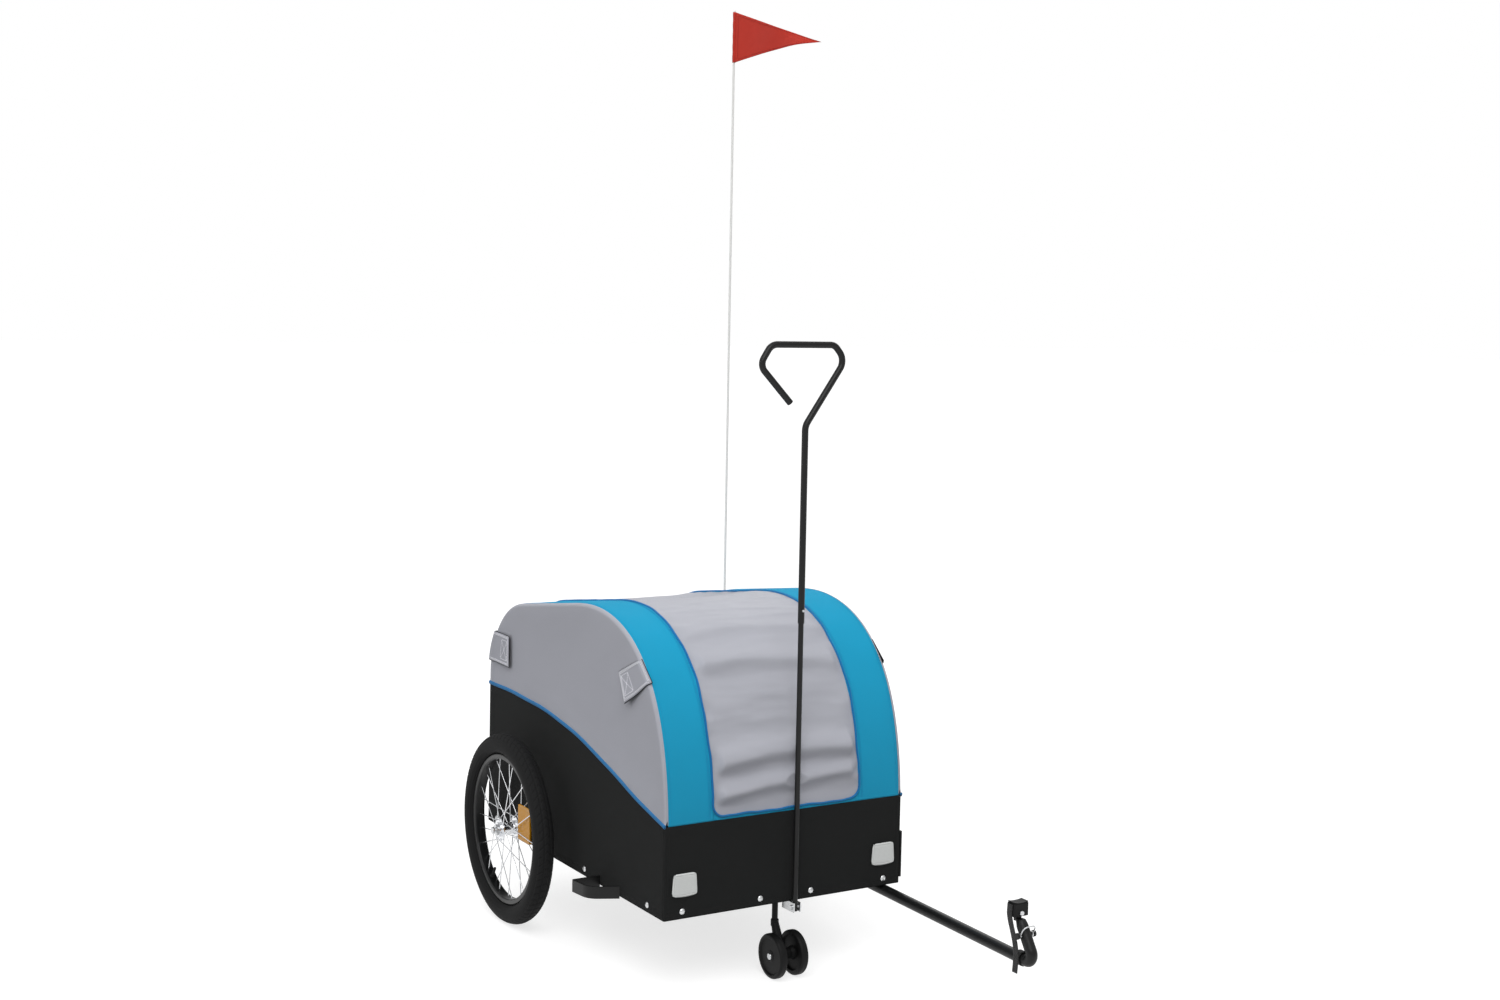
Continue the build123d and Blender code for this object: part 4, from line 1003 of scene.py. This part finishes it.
def rounded_grid(half_wide, half_tall, radius, columns, rows):
    """A grid over a rectangle with rounded corners."""
    x, y = np.meshgrid(np.linspace(-half_wide, half_wide, columns),
                       np.linspace(-half_tall, half_tall, rows))
    over_x = np.clip((np.abs(x) - half_wide + radius) / radius, 0, 1)
    over_y = np.clip((np.abs(y) - half_tall + radius) / radius, 0, 1)
    x = x - np.sign(x) * radius * over_x * (1 - np.sqrt(1 - over_y ** 2 / 2))
    y = y - np.sign(y) * radius * over_y * (1 - np.sqrt(1 - over_x ** 2 / 2))
    return x, y


def make_tyre(name):
    """A tyre with slanted tread blocks, ribbed shoulders and a bead that sits in the rim."""
    node = f"tyre_{name}"
    low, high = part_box(node)
    middle = (low + high) / 2
    section_r = (high.x - low.x) / 2
    centre_r = (high.z - low.z) / 2 - section_r
    phi = np.linspace(-2.45, 2.45, 92)
    turn = np.linspace(0, 2 * math.pi, 721)[:-1, None]
    away = np.abs(phi)
    tread = 1 - smooth_step(away, 0.80, 0.92)
    slant = np.abs(np.sin(36 * turn + 3.4 * away))
    groove = smooth_step(slant, 0.10, 0.30)
    centre_line = smooth_step(np.abs(away - 0.30), 0.03, 0.08)
    blocks = 1.5 * MM * tread * np.minimum(groove, centre_line)
    ribs = 0.35 * MM * np.exp(-((away - 1.20) / 0.03) ** 2)
    ribs = ribs + 0.5 * MM * np.exp(-((away - 1.95) / 0.05) ** 2)
    shoulder = smooth_step(away, 0.95, 1.0) * (1 - smooth_step(away, 1.08, 1.13))
    fins = 0.25 * MM * shoulder * (np.sin(144 * turn) > 0)
    radius = section_r - 1.5 * MM + blocks + ribs + fins
    x = middle.x + radius * np.sin(phi) * np.where(away > 2.3, 0.86, 1.0)
    r = centre_r + radius * np.cos(phi)
    points = xyz(x, middle.y + r * np.sin(turn), middle.z + r * np.cos(turn))
    faces = skin(*points.shape[:2], closed=True)
    mesh = mesh_of(f"tread_{name}", points.reshape(-1, 3), faces)
    weld(mesh)
    link(f"tread_{name}", mesh, f"wheel_{name}", "tyre_black", [node])


def make_wheel_reflector(side, name):
    """An amber lens with upright ribs inside a plain frame, clipped between spokes."""
    node = f"wheel_reflector_{name}"
    low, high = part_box(node)
    middle, half = (low + high) / 2, (high - low) / 2
    y, z = rounded_grid(half.y, half.z, 9 * MM, 81, 61)
    edge = np.minimum(half.y - np.abs(y), half.z - np.abs(z))
    field = smooth_step(edge, 4.5 * MM, 5.5 * MM)
    ribs = 0.55 * MM * np.abs(np.sin(y * math.pi / (6 * MM))) * field
    lip = -1.1 * MM * (1 - smooth_step(edge, 0, 1.8 * MM)) - 0.5 * MM * field
    x = middle.x + side * (half.x + lip + ribs)
    lens_name = f"amber_lens_{name}"
    mesh = sheet_mesh(lens_name, xyz(x, middle.y + y, middle.z + z), 2 * half.x, side)
    link(lens_name, mesh, f"wheel_{name}", "reflector_amber", [node])


def make_front_reflectors():
    """Pale lenses: wider below, with a bulged foot, a frame line and rows of small prisms."""
    low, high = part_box("front_reflectors")
    half = (high.z - low.z) / 2
    wide = 28 * MM
    pitch = 3 * MM
    x, z = rounded_grid(wide, half, 9 * MM, 95, 70)
    edge = np.minimum(wide - np.abs(x), half - np.abs(z))
    field = smooth_step(edge, 4.6 * MM, 5.4 * MM)
    frame_line = 0.9 * MM * np.exp(-((edge - 4.2 * MM) / (0.5 * MM)) ** 2)
    prisms = 0.45 * MM * np.abs(np.sin(x * math.pi / pitch) * np.sin(z * math.pi / pitch)) * field
    lip = 1.4 * MM * (1 - smooth_step(edge, 0, 2 * MM)) + 0.5 * MM
    depth = (high.y - low.y) - lip + prisms - frame_line
    height = (z + half) / (2 * half)
    taper = 1 - 3 * MM / wide * height
    foot = 1.2 * MM - 2.5 * MM * (1 - (x / wide) ** 2) * (1 - height)
    for side, word in ((1, "left"), (-1, "right")):
        name = f"front_lens_{word}"
        middle_x = side * (high.x - wide)
        place = xyz(middle_x + x * taper, high.y - depth, (low.z + high.z) / 2 + z + foot)
        mesh = sheet_mesh(name, place, 3.2 * MM)
        replaced = ["front_reflectors"] if side > 0 else []
        link(name, mesh, "frame", "reflector_clear", replaced)


# ---- light, camera, floor ---------------------------------------------------------------

def make_stage():
    size = 60.0
    corners = [(-size, -size, 0), (size, -size, 0), (size, size, 0), (-size, size, 0)]
    mesh = mesh_of("floor", corners, [[0, 1, 2, 3]])
    floor = bpy.data.objects.new("floor", mesh)
    bpy.context.scene.collection.objects.link(floor)
    shader = Shader("pale_floor", 0.85, Emission_Color=(1, 1, 1, 1), Emission_Strength=0.72)
    cloud = shader.noise(shader.place(uv=False), 1.5, 2)
    shader.colour(cloud, (0.42, 0.42, 0.42), (0.44, 0.44, 0.44))
    mesh.materials.append(shader.material)
    floor.visible_diffuse = False


def soft_box(name, place, target, width, height, power):
    light = bpy.data.lights.new(name, "AREA")
    light.shape = "RECTANGLE"
    light.size, light.size_y, light.energy = width, height, power
    box = bpy.data.objects.new(name, light)
    box.location = place
    box.rotation_mode = "QUATERNION"
    box.rotation_quaternion = (Vector(target) - Vector(place)).to_track_quat("-Z", "Y")
    bpy.context.scene.collection.objects.link(box)


def make_world():
    """White to the eye, but it lights the object more from above than from below."""
    world = bpy.data.worlds.new("studio")
    world.use_nodes = True
    tree = world.node_tree
    lit = tree.nodes["Background"]
    seen, split, place, height, path, mix = (tree.nodes.new(f"ShaderNode{kind}") for kind in (
        "Background", "SeparateXYZ", "TexCoord", "MapRange", "LightPath", "MixShader"))
    seen.inputs["Strength"].default_value = 1.0
    height.interpolation_type = "SMOOTHSTEP"
    for socket, value in (("From Min", -0.25), ("From Max", 0.7), ("To Min", 0.27), ("To Max", 0.86)):
        height.inputs[socket].default_value = value
    for start, end in (
            (place.outputs["Generated"], split.inputs[0]), (split.outputs["Z"], height.inputs["Value"]),
            (height.outputs["Result"], lit.inputs["Strength"]),
            (path.outputs["Is Camera Ray"], mix.inputs[0]), (lit.outputs[0], mix.inputs[1]),
            (seen.outputs[0], mix.inputs[2]), (mix.outputs[0], tree.nodes["World Output"].inputs["Surface"])):
        tree.links.new(start, end)
    for node in (lit, seen):
        node.inputs["Color"].default_value = (1, 1, 1, 1)
    bpy.context.scene.world = world


def make_light():
    bpy.context.scene.view_settings.view_transform = "Standard"
    make_world()
    middle = (0, AXLE.y - 0.1, 0.4)
    soft_box("key_light", (-1.5, -2.2, 3.4), middle, 2.6, 2.6, 70)
    soft_box("side_light", (-3.4, 0.6, 1.6), middle, 1.8, 1.8, 12)
    soft_box("back_light", (2.6, 3.0, 2.4), middle, 2.0, 2.0, 20)


def make_camera():
    """Low, from the front right, with a slight roll."""
    azimuth, pitch, roll = math.radians(31.27), math.radians(5.58), math.radians(-1.077)
    level = math.cos(pitch)
    ahead = Vector((math.sin(azimuth) * level, math.cos(azimuth) * level, -math.sin(pitch)))
    right = Vector((math.cos(azimuth), -math.sin(azimuth), 0))
    down = ahead.cross(right)
    across = math.cos(roll) * right + math.sin(roll) * down
    below = -math.sin(roll) * right + math.cos(roll) * down
    camera = bpy.data.objects.new("camera", bpy.data.cameras.new("camera"))
    camera.data.sensor_width = 36
    camera.data.lens = 45.95
    camera.data.clip_end = 100
    camera.location = (-1.962, AXLE.y - 3.638, 1.292)
    camera.rotation_mode = "QUATERNION"
    axes = [across, -below, -ahead]
    rotation = [[axis[row] for axis in axes] for row in range(3)]
    camera.rotation_quaternion = Matrix(rotation).to_quaternion()
    bpy.context.scene.collection.objects.link(camera)
    bpy.context.scene.camera = camera


dress_cad()
make_cover()
make_foot_strip()
make_cover_piping()
make_canopy_stitches()
for body_side, word in ((1, "left"), (-1, "right")):
    make_band(body_side, f"band_cloth_{word}")
    make_side_panel(body_side, f"side_cloth_{word}")
    make_edge_welt(body_side, f"edge_welt_{word}")
    make_side_piping(body_side, f"side_piping_{word}")
    make_front_tab(body_side, f"front_tab_{word}")
    make_rear_tab(body_side, f"rear_tab_{word}")
    make_tyre(word)
    make_wheel_reflector(body_side, word)
make_tub()
make_rear_flap()
make_flag()
make_safety_strap()
make_coupler_saddle()
make_front_reflectors()
make_stage()
make_light()
make_camera()
